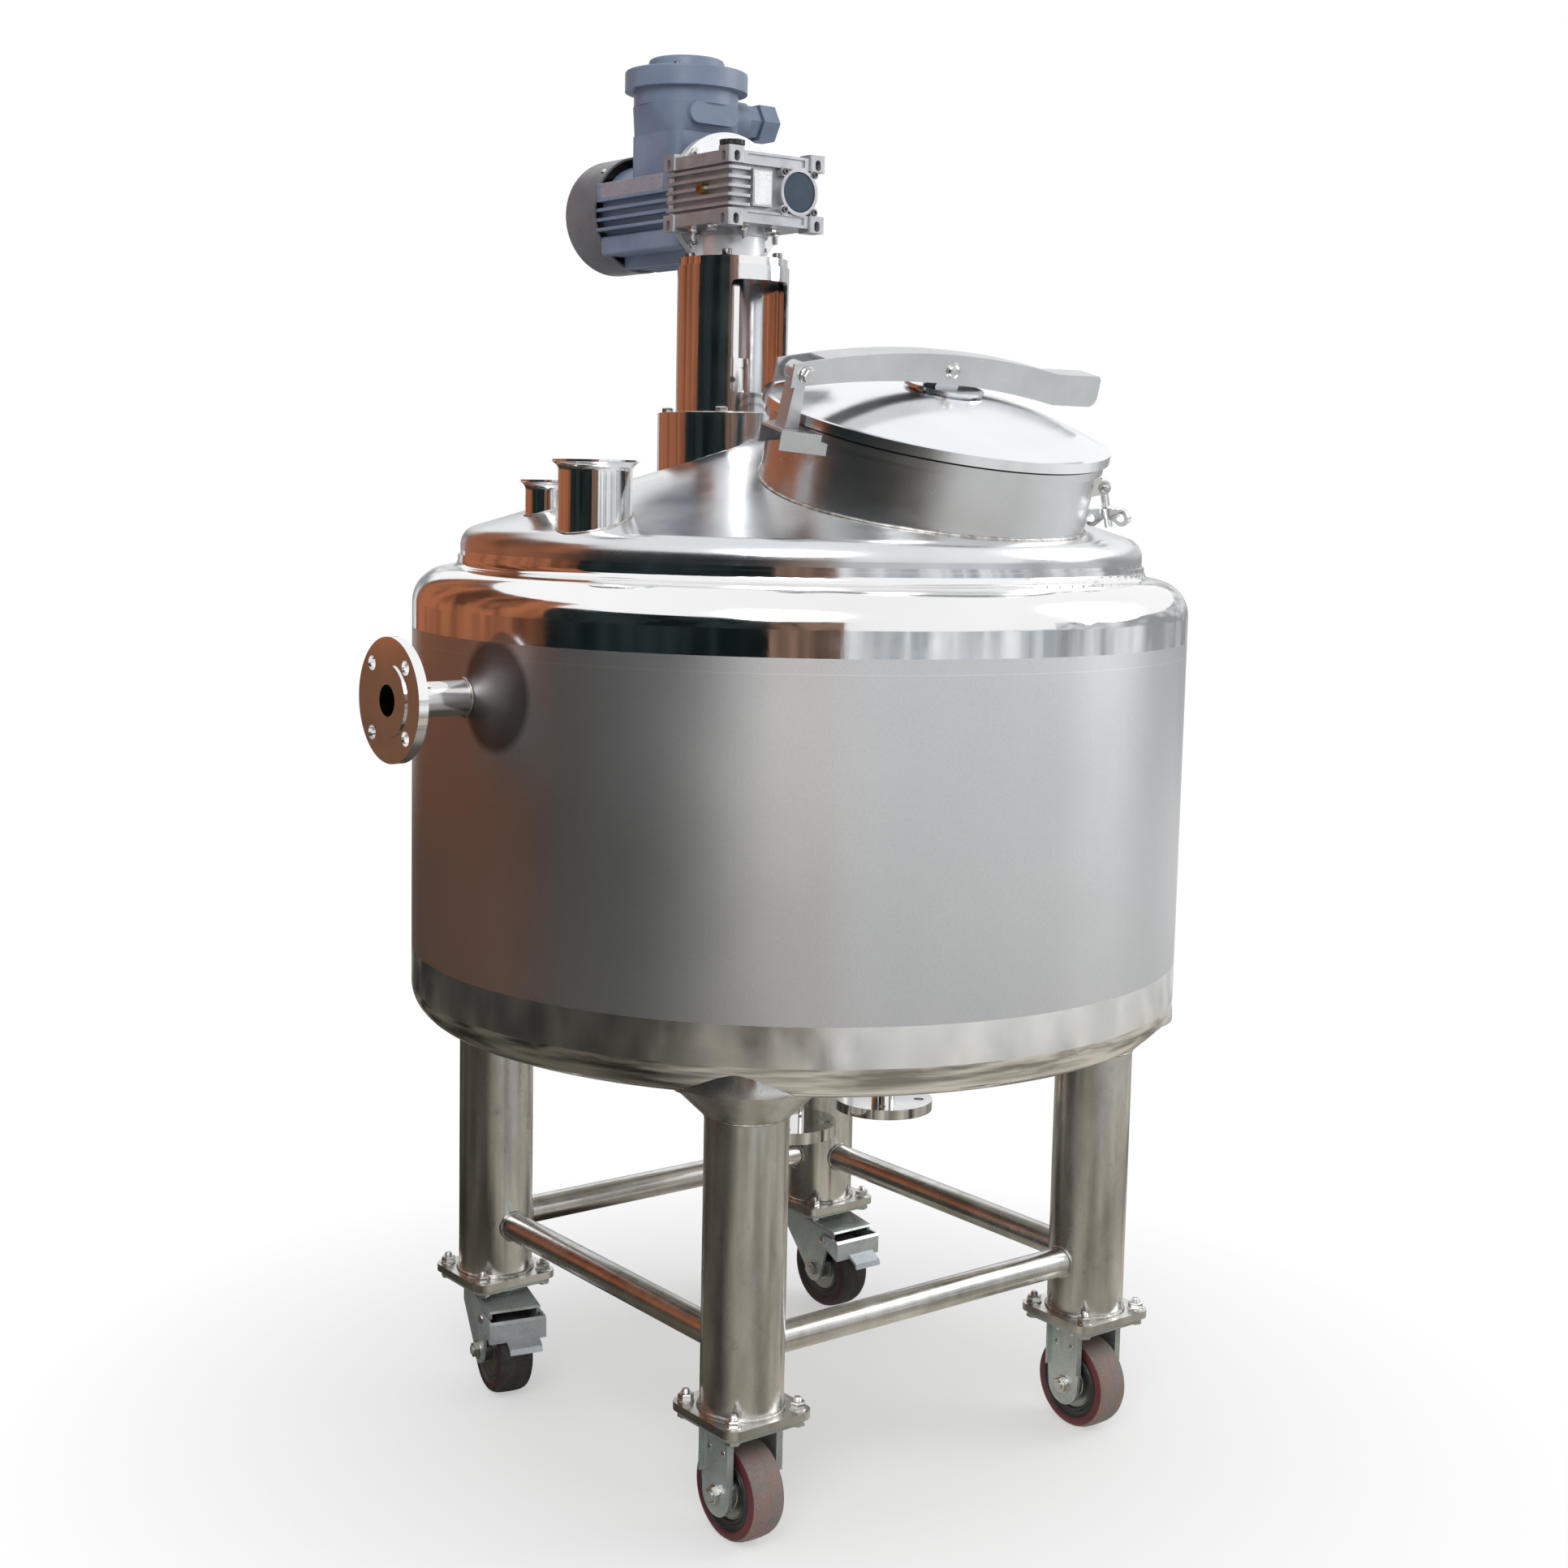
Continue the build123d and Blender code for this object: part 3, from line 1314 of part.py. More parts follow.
# Files, one for each piece
pieces = [
    jacket_wall,
    jacket_bottom,
    jacket_shoulder,
    vessel_wall,
    vessel_bottom,
    vessel_roof,
    jacket_inlet,
    bottom_outlet,
    jacket_drain,
    agitator_collar,
    agitator_stand,
    stand_head,
    drive_spacer,
    gearbox_housing,
    worm_cap,
    gearbox_breather,
    oil_plug,
    motor_flange,
    motor_body,
    fan_cowl,
    terminal_box,
    terminal_lid,
    cable_gland,
    agitator_shaft,
    shaft_coupling,
    impeller,
    manway_neck,
    lid_gasket,
    manway_lid,
    lid_lever,
    hinge_bracket,
    hinge_post,
] + list(bolts.values())
pieces += list(legs.values()) + list(rails.values()) + list(ferrules.values()) + list(casters.values())
for piece in pieces:
    export_step(piece.part, f"parts/{piece.part.label}.step")
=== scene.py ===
"""Looks of the mobile jacketed mixing tank: materials, fasteners, welds and studio. Metres."""

import json
import math
from random import Random

import bmesh
import bpy
from mathutils import Matrix, Vector
from mathutils.bvhtree import BVHTree

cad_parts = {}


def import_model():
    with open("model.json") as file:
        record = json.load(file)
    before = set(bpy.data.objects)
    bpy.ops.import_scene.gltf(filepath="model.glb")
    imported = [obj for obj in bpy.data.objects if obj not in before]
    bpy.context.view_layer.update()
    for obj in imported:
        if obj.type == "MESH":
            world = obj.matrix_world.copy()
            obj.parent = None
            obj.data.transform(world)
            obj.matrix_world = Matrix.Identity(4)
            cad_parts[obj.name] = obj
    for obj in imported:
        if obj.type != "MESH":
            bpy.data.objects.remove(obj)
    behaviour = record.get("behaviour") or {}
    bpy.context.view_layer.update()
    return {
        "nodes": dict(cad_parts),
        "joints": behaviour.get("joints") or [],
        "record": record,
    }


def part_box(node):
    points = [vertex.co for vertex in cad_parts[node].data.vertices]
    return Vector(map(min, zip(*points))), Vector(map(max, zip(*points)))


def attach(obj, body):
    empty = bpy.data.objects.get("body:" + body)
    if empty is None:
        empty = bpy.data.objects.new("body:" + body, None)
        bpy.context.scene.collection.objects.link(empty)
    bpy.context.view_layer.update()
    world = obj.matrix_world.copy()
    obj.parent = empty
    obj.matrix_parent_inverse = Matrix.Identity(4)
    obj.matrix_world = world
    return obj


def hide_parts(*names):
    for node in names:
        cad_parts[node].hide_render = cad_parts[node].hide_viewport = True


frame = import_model()
scene = bpy.context.scene
scene.view_settings.view_transform = "Standard"
nodes = frame["nodes"]

# Camera of the photograph: metres, degrees, and shares of the frame
CAMERA_PLACE = (-1.8411, -2.3450, 1.2641)
CAMERA_AZIMUTH = -37.46
CAMERA_ELEVATION = 6.61
CAMERA_ROLL = 1.15
CAMERA_LENS = 51.31
CAMERA_SHIFT = (0.0088, -0.0260)

# Studio
SKY_LIGHT = 0.55  # light of the open sky on the object; the lamps add the rest
FRONT = math.atan2(CAMERA_PLACE[1], CAMERA_PLACE[0])  # direction from the tank to the camera
WALL = 7.0  # distance of the cards that the steel mirrors
GROUND_LIFT = 0.002  # height of the mirrored ground over the floor
FLOOR_RADIUS = 6.0
FLOOR_FADE = (0.35, 1.05)  # distances between which the floor gives way to the background
FLOOR_CLEAR = 0.42  # how clear the floor is under the object

# Sizes that the added pieces share with the part, in metres
UP = Vector((0, 0, 1))
CORNERS = ("front_left", "front_right", "rear_left", "rear_right")
SIGNS = ((-1, -1), (-1, 1), (1, -1), (1, 1))
DIAGONALS = tuple(math.radians(45 + 90 * k) for k in range(4))
LEG_RADIUS = 0.0508
PAD_THICK = 0.010
PAD_BOLT = 0.048
CASTER_PLATE_THICK = 0.006
SWIVEL_NUT_TOP = 0.1361
SWIVEL_RACE = (0.1425, 0.0368)  # height and radius
CHEEK_OUT = 0.0365
CHEEK_RIVETS = (0.138, 0.118)
CHEEK_RIVET_ASIDE = 0.0135
BRAKE_PIVOT = (-0.062, 0.116)
BRAKE_ARM_OUT = 0.0405
RAILS = (
    ("front_left", "front_right"),
    ("rear_left", "rear_right"),
    ("front_left", "rear_left"),
    ("front_right", "rear_right"),
)
RAIL_RADIUS = 0.019
RAIL_HEIGHT = 0.237
SADDLE_LOW = 0.524
SADDLE_HIGH = 0.572
SADDLE_SLOPE = math.tan(math.radians(46))
EDGE_LEAN = 0.11  # inward run of a saddle's added edge for each metre of rise
JACKET_RADIUS = 0.510
FILM_LINE = 1.055  # height of the fine line that the sheet's film left on the matte wall
PAINTED_FLANGE_REFLECTION = (-0.0645, 1.0095, 0.0615, 0.0685)  # painted reflection of the inlet's flange, a dark patch in the wall's colour: y, z, half width and half height
INLET_HEIGHT = 1.003
INLET_RADIUS = 0.022
INLET_FLANGE_BACK = 0.5975
FERRULES = (("large_ferrule", 0.0445), ("small_ferrule", 0.0265))
OUTLETS = (("bottom_outlet", 0.0212), ("jacket_drain", 0.0169))
MANWAY = Vector((0.012, -0.225, 1.241))
MANWAY_TILT = math.radians(14.5)
MANWAY_AXIS = Vector((0, -math.sin(MANWAY_TILT), math.cos(MANWAY_TILT)))
MANWAY_REAR = Vector((0, math.cos(MANWAY_TILT), math.sin(MANWAY_TILT)))
NECK_RADIUS = 0.205
LEVER_HALF = 0.018
LEVER_PIN = (-0.230, 0.159)
LID_PIN = (-0.006, 0.174)
EARS_OUT = 0.0111
COLLAR_SEAM = 0.1015
COLLAR_FLANGE = 0.016
COLLAR_BOLTS = 0.0885
STAND_SEAM = 0.0771
HEAD_BOLTS = 0.060
COUPLING_FLAT = Vector((-0.0130, -0.0186, 0))
COUPLING_OUT = Vector((-0.573, -0.8195, 0))
COUPLING_SCREWS = (1.4050, 1.3850)
GEAR_BOLTS = 0.0575
GEAR_LOW = 1.6095
GEAR_LUGS = (0.0035, 0.0845)
GEAR_PLATE = (-0.009, 1.656)
CAP_SCREWS = 0.0355
MOTOR_BOLTS = 0.0875
MOTOR_PAD_HEIGHT = 1.6826
MOTOR_PAD_MIDDLE = 0.1095
COWL_RADIUS = 0.0845
LID_SCREWS = 0.0725

# Weld beads
PROUD = 0.0004  # how far a bead's middle stands off the sheets that it joins
SMOOTH = 60  # degrees under which the faces of a bead look smooth


# Places read from the frame
JOINT = {joint["name"]: joint for joint in frame["joints"]}


def middle(name):
    low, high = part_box(name)
    return (low + high) / 2


def caster_plate(corner):
    """Node with the top plate of a caster; a front fork has its plate in one piece with it."""
    return ("fork_" if corner.startswith("front") else "caster_plate_") + corner


def foot_of(corner, height=0.0):
    """Point on the axis of a leg, which stands on the middle of its caster plate."""
    centre = middle(caster_plate(corner))
    return Vector((centre.x, centre.y, height))


def on_manway(u, v, w):
    """Point in the frame of the tilted manway: u to the right, v to the rear, w along its axis."""
    return MANWAY + Vector((1, 0, 0)) * u + MANWAY_REAR * v + MANWAY_AXIS * w


AGITATOR = middle("stand_head")
MOTOR = middle("motor_flange")


def photo_camera():
    azimuth, elevation = math.radians(CAMERA_AZIMUTH), math.radians(CAMERA_ELEVATION)
    roll = math.radians(CAMERA_ROLL)
    level = Vector((math.cos(azimuth), math.sin(azimuth), 0))
    forward = UP.cross(level) * math.cos(elevation) - UP * math.sin(elevation)
    above = level.cross(forward)
    right = level * math.cos(roll) + above * math.sin(roll)
    up = above * math.cos(roll) - level * math.sin(roll)
    data = bpy.data.cameras.new("camera")
    data.sensor_width = 36
    data.lens = CAMERA_LENS
    data.shift_x, data.shift_y = CAMERA_SHIFT
    data.clip_end = 100
    camera = bpy.data.objects.new("camera", data)
    turn = Matrix((right, up, -forward)).transposed().to_4x4()
    camera.matrix_world = Matrix.Translation(CAMERA_PLACE) @ turn
    scene.collection.objects.link(camera)
    scene.camera = camera


# Node helpers
class Tree:
    """Short ways to build a node material."""

    def __init__(self, name):
        self.material = bpy.data.materials.new(name)
        self.material.use_nodes = True
        self.nodes = self.material.node_tree.nodes
        self.links = self.material.node_tree.links
        self.shader = self.nodes["Principled BSDF"]
        self.place = self.nodes.new("ShaderNodeTexCoord").outputs["Object"]

    def set(self, **values):
        for name, value in values.items():
            self.shader.inputs[name.replace("_", " ").capitalize()].default_value = value

    def link(self, output, name):
        self.links.new(output, self.shader.inputs[name])

    def feed(self, socket, value):
        """Links an output to a socket, or gives the socket a number or a colour."""
        if isinstance(value, bpy.types.NodeSocket):
            self.links.new(value, socket)
        elif socket.type == "RGBA":
            socket.default_value = (*value, 1)
        else:
            socket.default_value = value

    def add(self, kind, **inputs):
        node = self.nodes.new("ShaderNode" + kind)
        for name, value in inputs.items():
            self.feed(node.inputs[name.replace("_", " ").capitalize()], value)
        return node

    def noise(self, scale, detail=4, rough=0.55, stretch=(1, 1, 1)):
        mapping = self.add("Mapping", Vector=self.place, Scale=stretch)
        node = self.add(
            "TexNoise", Vector=mapping.outputs[0], Scale=scale, Detail=detail, Roughness=rough
        )
        return node.outputs["Fac"]

    def ramp(self, value, *stops):
        """Colour or grey ramp over (position, colour) stops."""
        node = self.add("ValToRGB", Fac=value)
        elements = node.color_ramp.elements
        while len(elements) < len(stops):
            elements.new(0.5)
        for element, (at, colour) in zip(elements, stops):
            element.position = at
            grey = isinstance(colour, (int, float))
            element.color = (colour,) * 3 + (1,) if grey else (*colour, 1)
        return node.outputs["Color"]

    def span(self, value, low, high, to_low, to_high):
        """Carries the range from low to high over to another range, and stops at its ends."""
        node = self.add("MapRange", Value=value)
        names = ("From Min", "From Max", "To Min", "To Max")
        for name, number in zip(names, (low, high, to_low, to_high)):
            node.inputs[name].default_value = number
        return node.outputs["Result"]

    def math(self, operation, a, b=0.0):
        node = self.nodes.new("ShaderNodeMath")
        node.operation = operation
        self.feed(node.inputs[0], a)
        self.feed(node.inputs[1], b)
        return node.outputs[0]

    def mix(self, share, a, b):
        """Mixes two colours."""
        node = self.nodes.new("ShaderNodeMix")
        node.data_type = "RGBA"
        for socket, value in ((node.inputs[0], share), (node.inputs[6], a), (node.inputs[7], b)):
            self.feed(socket, value)
        return node.outputs[2]

    def bump(self, height, strength, distance, before=None):
        node = self.add("Bump", Height=height, Strength=strength, Distance=distance)
        if before is not None:
            self.links.new(before, node.inputs["Normal"])
        return node.outputs["Normal"]


def polished_steel():
    """Mirror-polished stainless steel with fine wiping marks and a slightly uneven sheet."""
    t = Tree("polished_steel")
    t.set(Metallic=1.0)
    cloud = t.noise(3.0, 3)
    t.link(t.ramp(cloud, (0.3, (0.84, 0.84, 0.835)), (0.7, (0.93, 0.93, 0.935))), "Base Color")
    smear = t.noise(9.0, 5, 0.6, (1, 1, 3))
    t.link(t.span(smear, 0.35, 0.75, 0.05, 0.15), "Roughness")
    wave = t.bump(t.noise(3.5, 2, 0.4), 0.12, 0.02)
    t.link(t.bump(t.noise(160, 3, 0.5, (1, 1, 0.15)), 0.05, 0.0005, wave), "Normal")
    return t.material


def brushed_steel():
    """Matte ground sheet of the jacket wall: cloudy, sharper along the grain than across it, with a
    painted reflection of the inlet's flange.
    """
    t = Tree("brushed_steel")
    t.set(Metallic=1.0, Anisotropic=0.7)
    t.shader.inputs["Anisotropic Rotation"].default_value = 0.25
    tangent = t.add("Tangent")
    tangent.direction_type = "RADIAL"
    tangent.axis = "Z"
    t.link(tangent.outputs[0], "Tangent")
    cloud = t.noise(2.0, 3)
    grain = t.noise(700, 2, 0.6)
    wiped = t.noise(5.0, 4, 0.6, (1, 1, 0.3))
    tone = t.ramp(cloud, (0.3, (0.63, 0.64, 0.655)), (0.7, (0.69, 0.70, 0.715)))
    tone = t.mix(0.14, tone, t.ramp(grain, (0.35, 0.40), (0.65, 0.90)))
    tone = t.mix(t.span(wiped, 0.55, 0.75, 0.0, 0.22), tone, (0.78, 0.785, 0.79))
    x, y, z = t.add("SeparateXYZ", Vector=t.place).outputs
    off_line = t.math("ABSOLUTE", t.math("SUBTRACT", z, FILM_LINE))
    tone = t.mix(t.span(off_line, 0.0004, 0.0012, 0.35, 0.0), tone, (0.85, 0.85, 0.86))
    # Painted reflection: the blurred mirror image of the inlet's flange beside its pipe, painted
    # into the wall's colour as a dark patch
    across = t.math("DIVIDE", t.math("SUBTRACT", y, PAINTED_FLANGE_REFLECTION[0]), PAINTED_FLANGE_REFLECTION[2])
    up = t.math("DIVIDE", t.math("SUBTRACT", z, PAINTED_FLANGE_REFLECTION[1]), PAINTED_FLANGE_REFLECTION[3])
    far = t.math("ADD", t.math("MULTIPLY", across, across), t.math("MULTIPLY", up, up))
    left_side = t.span(x, -0.1, 0.1, 1.0, 0.0)
    painted_reflection = t.math("MULTIPLY", t.span(far, 0.80, 1.12, 0.78, 0.0), left_side)
    t.link(t.mix(painted_reflection, tone, (0.10, 0.085, 0.08)), "Base Color")
    t.link(t.span(cloud, 0.3, 0.7, 0.34, 0.41), "Roughness")
    t.link(t.bump(grain, 0.22, 0.0003), "Normal")
    return t.material


def roof_steel(name, low, high, dark, light):
    """Hand-polished sheet, softer than the mirror polish; its roughness goes from low to high."""
    t = Tree(name)
    t.set(Metallic=1.0)
    t.link(t.ramp(t.noise(4.0, 4), (0.3, dark), (0.7, light)), "Base Color")
    t.link(t.span(t.noise(7.0, 5, 0.6, (1, 1, 3)), 0.3, 0.7, low, high), "Roughness")
    wave = t.bump(t.noise(5.0, 3, 0.5), 0.15, 0.01)
    t.link(t.bump(t.noise(260, 3, 0.5), 0.06, 0.0005, wave), "Normal")
    return t.material


def tube_steel():
    """Drawn and wiped steel tube of the legs and rails, a little duller than the tank."""
    t = Tree("tube_steel")
    t.set(Metallic=1.0)
    cloud = t.noise(14.0, 5, 0.65, (1, 1, 0.4))
    tone = t.ramp(cloud, (0.3, (0.52, 0.51, 0.485)), (0.65, (0.78, 0.775, 0.76)))
    stain = t.noise(38.0, 6, 0.7)
    t.link(t.mix(t.span(stain, 0.6, 0.72, 0.0, 0.35), tone, (0.24, 0.21, 0.18)), "Base Color")
    t.link(t.span(t.noise(22, 5, 0.6, (1, 1, 0.3)), 0.3, 0.7, 0.16, 0.34), "Roughness")
    t.link(t.bump(t.noise(90, 4, 0.6, (1, 1, 0.2)), 0.12, 0.0008), "Normal")
    return t.material


def satin_steel():
    """Sheet steel of the lever and its hinge, rubbed to a soft grey."""
    t = Tree("satin_steel")
    t.set(Metallic=0.8)
    tone = t.ramp(t.noise(9), (0.3, (0.52, 0.53, 0.54)), (0.7, (0.66, 0.67, 0.68)))
    t.link(tone, "Base Color")
    t.link(t.span(t.noise(14, 4), 0.3, 0.7, 0.24, 0.34), "Roughness")
    t.link(t.bump(t.noise(420, 2, 0.5), 0.05, 0.0003), "Normal")
    return t.material


def weld_steel():
    """Weld bead, brushed over and a little tinted by heat."""
    t = Tree("weld_steel")
    t.set(Metallic=1.0)
    tone = t.ramp(t.noise(120, 5, 0.6), (0.35, (0.30, 0.27, 0.23)), (0.62, (0.66, 0.65, 0.63)))
    t.link(tone, "Base Color")
    t.link(t.span(t.noise(90, 4), 0.3, 0.7, 0.24, 0.44), "Roughness")
    t.link(t.bump(t.noise(500, 3, 0.6), 0.4, 0.0006), "Normal")
    return t.material


def aluminium(name, dark, light):
    """Cast or turned aluminium with a fine grain."""
    t = Tree(name)
    t.set(Metallic=0.6)
    t.link(t.ramp(t.noise(30, 5), (0.3, dark), (0.7, light)), "Base Color")
    t.link(t.span(t.noise(60, 4), 0.3, 0.7, 0.30, 0.44), "Roughness")
    t.link(t.bump(t.noise(420, 4, 0.6), 0.35, 0.0006), "Normal")
    return t.material


def paint(name, dark, light, rough, bump=0.25, grain=160):
    """Paint, rubber or plastic between two tones, with a fine relief."""
    t = Tree(name)
    t.link(t.ramp(t.noise(12, 5), (0.3, dark), (0.7, light)), "Base Color")
    t.link(t.span(t.noise(25, 4), 0.3, 0.7, rough, rough + 0.14), "Roughness")
    t.link(t.bump(t.noise(grain, 4, 0.6), bump, 0.0006), "Normal")
    return t.material


def tread(name, ground, tint, speck):
    """Dirty wheel tread: mottled ground, patches of the tyre's own colour, stones and pits."""
    t = Tree(name)
    base = t.mix(t.span(t.noise(45, 5, 0.65), 0.42, 0.62, 0.0, 1.0), ground, tint)
    stones = t.add("TexVoronoi", Vector=t.place, Scale=330.0).outputs["Distance"]
    base = t.mix(t.span(stones, 0.10, 0.22, 0.55, 0.0), base, speck)
    pits = t.noise(260, 4, 0.7)
    t.link(t.mix(t.span(pits, 0.60, 0.70, 0.0, 0.6), base, (0.05, 0.045, 0.045)), "Base Color")
    t.set(Roughness=0.6)
    t.link(t.bump(pits, 0.5, 0.0008), "Normal")
    return t.material


def zinc(name, dark, light, metal=1.0):
    """Zinc-plated sheet steel with a faint mottle."""
    t = Tree(name)
    t.set(Metallic=metal)
    spangle = t.add("TexVoronoi", Vector=t.place, Scale=260.0).outputs["Distance"]
    tone = t.ramp(t.noise(25, 5), (0.3, dark), (0.7, light))
    t.link(t.mix(0.12, tone, t.ramp(spangle, (0.1, 0.25), (0.6, 0.8))), "Base Color")
    t.link(t.span(t.noise(40, 4), 0.3, 0.7, 0.22, 0.38), "Roughness")
    t.link(t.bump(t.noise(300, 3), 0.15, 0.0004), "Normal")
    return t.material


def brass():
    t = Tree("brass")
    t.set(Metallic=1.0)
    tone = t.ramp(t.noise(60), (0.3, (0.32, 0.19, 0.09)), (0.7, (0.55, 0.38, 0.18)))
    t.link(tone, "Base Color")
    t.link(t.span(t.noise(80, 3), 0.3, 0.7, 0.25, 0.45), "Roughness")
    return t.material


MATERIAL = {
    "polished_steel": polished_steel(),
    "brushed_steel": brushed_steel(),
    "tube_steel": tube_steel(),
    "satin_steel": satin_steel(),
    "weld_steel": weld_steel(),
    "brass": brass(),
}
# Finishes that share a function: its name, and the numbers it takes
VARIANTS = {
    roof_steel: {
        "roof_steel": (0.16, 0.30, (0.66, 0.68, 0.70), (0.80, 0.81, 0.82)),
        "neck_steel": (0.20, 0.30, (0.62, 0.63, 0.64), (0.74, 0.75, 0.76)),
        "stand_steel": (0.07, 0.15, (0.74, 0.76, 0.79), (0.88, 0.89, 0.91)),
        "lid_steel": (0.12, 0.22, (0.84, 0.87, 0.91), (0.95, 0.96, 0.97)),
    },
    aluminium: {
        "cast_aluminium": ((0.36, 0.365, 0.39), (0.50, 0.51, 0.54)),
        "turned_aluminium": ((0.62, 0.63, 0.65), (0.78, 0.79, 0.81)),
    },
    paint: {
        "grey_paint": ((0.15, 0.195, 0.285), (0.22, 0.275, 0.385), 0.30, 0.4, 220),
        "cowl_paint": ((0.13, 0.13, 0.15), (0.20, 0.195, 0.215), 0.26, 0.15),
        "cap_blue": ((0.012, 0.028, 0.052), (0.025, 0.052, 0.085), 0.5),
        "black_rubber": ((0.008, 0.008, 0.009), (0.025, 0.025, 0.027), 0.35),
        "front_side": ((0.085, 0.012, 0.020), (0.16, 0.028, 0.038), 0.34, 0.4, 120),
        "rear_side": ((0.022, 0.012, 0.013), (0.055, 0.022, 0.024), 0.45, 0.4, 120),
        "wheel_core": ((0.020, 0.022, 0.022), (0.06, 0.065, 0.062), 0.40),
    },
    zinc: {
        "zinc_plate": ((0.34, 0.39, 0.375), (0.50, 0.56, 0.54), 0.6),
        "brake_paint": ((0.48, 0.54, 0.58), (0.66, 0.72, 0.76), 0.65),
        "nut_steel": ((0.50, 0.50, 0.49), (0.74, 0.73, 0.71)),
        "dark_steel": ((0.05, 0.05, 0.055), (0.12, 0.12, 0.125)),
        "bare_plate": ((0.56, 0.57, 0.60), (0.70, 0.71, 0.74)),
        "plate_tint": ((0.25, 0.24, 0.31), (0.36, 0.34, 0.40), 0.2),
        "bearing_steel": ((0.22, 0.24, 0.24), (0.40, 0.42, 0.42)),
    },
    tread: {
        "front_tread": ((0.20, 0.18, 0.155), (0.26, 0.165, 0.15), (0.50, 0.49, 0.45)),
        "rear_tread": ((0.026, 0.027, 0.025), (0.050, 0.036, 0.036), (0.16, 0.16, 0.15)),
    },
}
for finish, kinds in VARIANTS.items():
    for name, numbers in kinds.items():
        MATERIAL[name] = finish(name, *numbers)
NODE_FINISH = {
    "worm_cap": "cap_blue",
    "motor_flange": "turned_aluminium",
    "fan_cowl": "cowl_paint",
    "lid_lever": "satin_steel",
    "hinge_bracket": "satin_steel",
    "hinge_post": "satin_steel",
    "drive_spacer": "turned_aluminium",
    "vessel_roof": "roof_steel",
    "agitator_stand": "stand_steel",
    "agitator_collar": "stand_steel",
    "manway_neck": "neck_steel",
    "manway_lid": "lid_steel",
}


def node_finish(name, slot):
    """Blender finish of a CAD node, from its name and its record slot."""
    if slot == "wheel_tyre":
        return MATERIAL["front_tread" if "front" in name else "rear_tread"]
    if name.startswith(("leg_", "rail_")):
        return MATERIAL["tube_steel"]
    return MATERIAL[NODE_FINISH.get(name, slot)]


def dress_nodes():
    slots = {part["node"]: part["material_slot"] for part in frame["record"]["subparts"]}
    for name, node in nodes.items():
        node.data.materials.clear()
        node.data.materials.append(node_finish(name, slots[name]))


# Meshes
class Solid:
    """Closed forms gathered in one mesh, each face with a number for its finish."""

    def __init__(self):
        self.points = []
        self.faces = []
        self.marks = []

    def skin(self, rings, loop=False, marks=None):
        """Joins rings of points; the ends are capped, or joined to each other in a loop."""
        first = len(self.points)
        count = len(rings[0])
        for ring in rings:
            self.points.extend(tuple(point) for point in ring)
        strips = len(rings) if loop else len(rings) - 1
        for k in range(strips):
            low = first + k * count
            high = first + (k + 1) % len(rings) * count
            for j in range(count):
                after = (j + 1) % count
                self.faces.append((low + j, low + after, high + after, high + j))
                self.marks.append(marks[k] if marks else 0)
        if not loop:
            self.faces.append(tuple(first + j for j in reversed(range(count))))
            last = first + (len(rings) - 1) * count
            self.faces.append(tuple(last + j for j in range(count)))
            self.marks.extend((marks[0], marks[-1]) if marks else (0, 0))

    def lathe(self, place, axis, profile, sides=32, loop=False, turn=0.0, marks=None):
        """Turns (height, radius) points round an axis; six sides make a nut."""
        place, axis = Vector(place), Vector(axis).normalized()
        across = axis.orthogonal().normalized()
        if abs(axis.z) > 0.99:
            across = Vector((1, 0, 0))
        other = axis.cross(across)
        rings = []
        for height, radius in profile:
            ring = []
            for j in range(sides):
                a = turn + math.tau * j / sides
                out = across * math.cos(a) + other * math.sin(a)
                ring.append(place + axis * height + out * radius)
            rings.append(ring)
        self.skin(rings, loop, marks)

    def bead(self, path, radius, ripple=0.16, seed=0, axis=(0.03, 0.02, 1)):
        """Weld bead round a closed path of points; the axis is never along the path."""
        reference = Vector(axis)
        random = Random(seed)
        rings = []
        count = len(path)
        for k, point in enumerate(path):
            along = (path[(k + 1) % count] - path[k - 1]).normalized()
            side = along.cross(reference).normalized()
            above = side.cross(along)
            reach = radius * (1 + ripple * (random.random() - 0.5) * 2)
            ring = []
            for j in range(8):
                a = math.tau * j / 8
                ring.append(point + side * math.cos(a) * reach + above * math.sin(a) * reach)
            rings.append(ring)
        self.skin(rings, True)

    def plate(self, centre, width_axis, height_axis, width, height, thick, corner):
        """Thin plate with round corners and a broken edge, standing on its back face."""
        w, h = Vector(width_axis), Vector(height_axis)
        out = w.cross(h)
        edge = 0.0003
        rings = []
        for lift, inset in ((0, 0), (thick - edge, 0), (thick, edge)):
            ring = []
            for quarter in range(4):
                sx, sy = ((1, 1), (-1, 1), (-1, -1), (1, -1))[quarter]
                for step in range(5):
                    a = math.radians(90 * quarter + 22.5 * step)
                    x = sx * (width / 2 - corner) + (corner - inset) * math.cos(a)
                    y = sy * (height / 2 - corner) + (corner - inset) * math.sin(a)
                    ring.append(Vector(centre) + w * x + h * y + out * lift)
            rings.append(ring)
        self.skin(rings)

    def make(self, name, body, finishes, sharp=35):
        """Puts the mesh in the scene on a body, with one finish for each face number."""
        mesh = bpy.data.meshes.new(name)
        mesh.from_pydata(self.points, [], self.faces)
        work = bmesh.new()
        work.from_mesh(mesh)
        bmesh.ops.recalc_face_normals(work, faces=work.faces)
        work.to_mesh(mesh)
        work.free()
        for finish in finishes:
            mesh.materials.append(MATERIAL[finish])
        mesh.polygons.foreach_set("material_index", self.marks)
        mesh.shade_smooth()
        mesh.set_sharp_from_angle(angle=math.radians(sharp))
        made = bpy.data.objects.new(name, mesh)
        scene.collection.objects.link(made)
        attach(made, body)
        return made


def hex_nut(solid, place, axis, width, height, turn=0.0):
    """Hexagon nut or bolt head with a chamfered top; width is measured across the flats."""
    corner = width / math.sqrt(3)
    profile = [
        (0, corner * 0.96),
        (height * 0.08, corner),
        (height * 0.82, corner),
        (height, corner * 0.86),
    ]
    solid.lathe(place, axis, profile, 6, turn=turn)


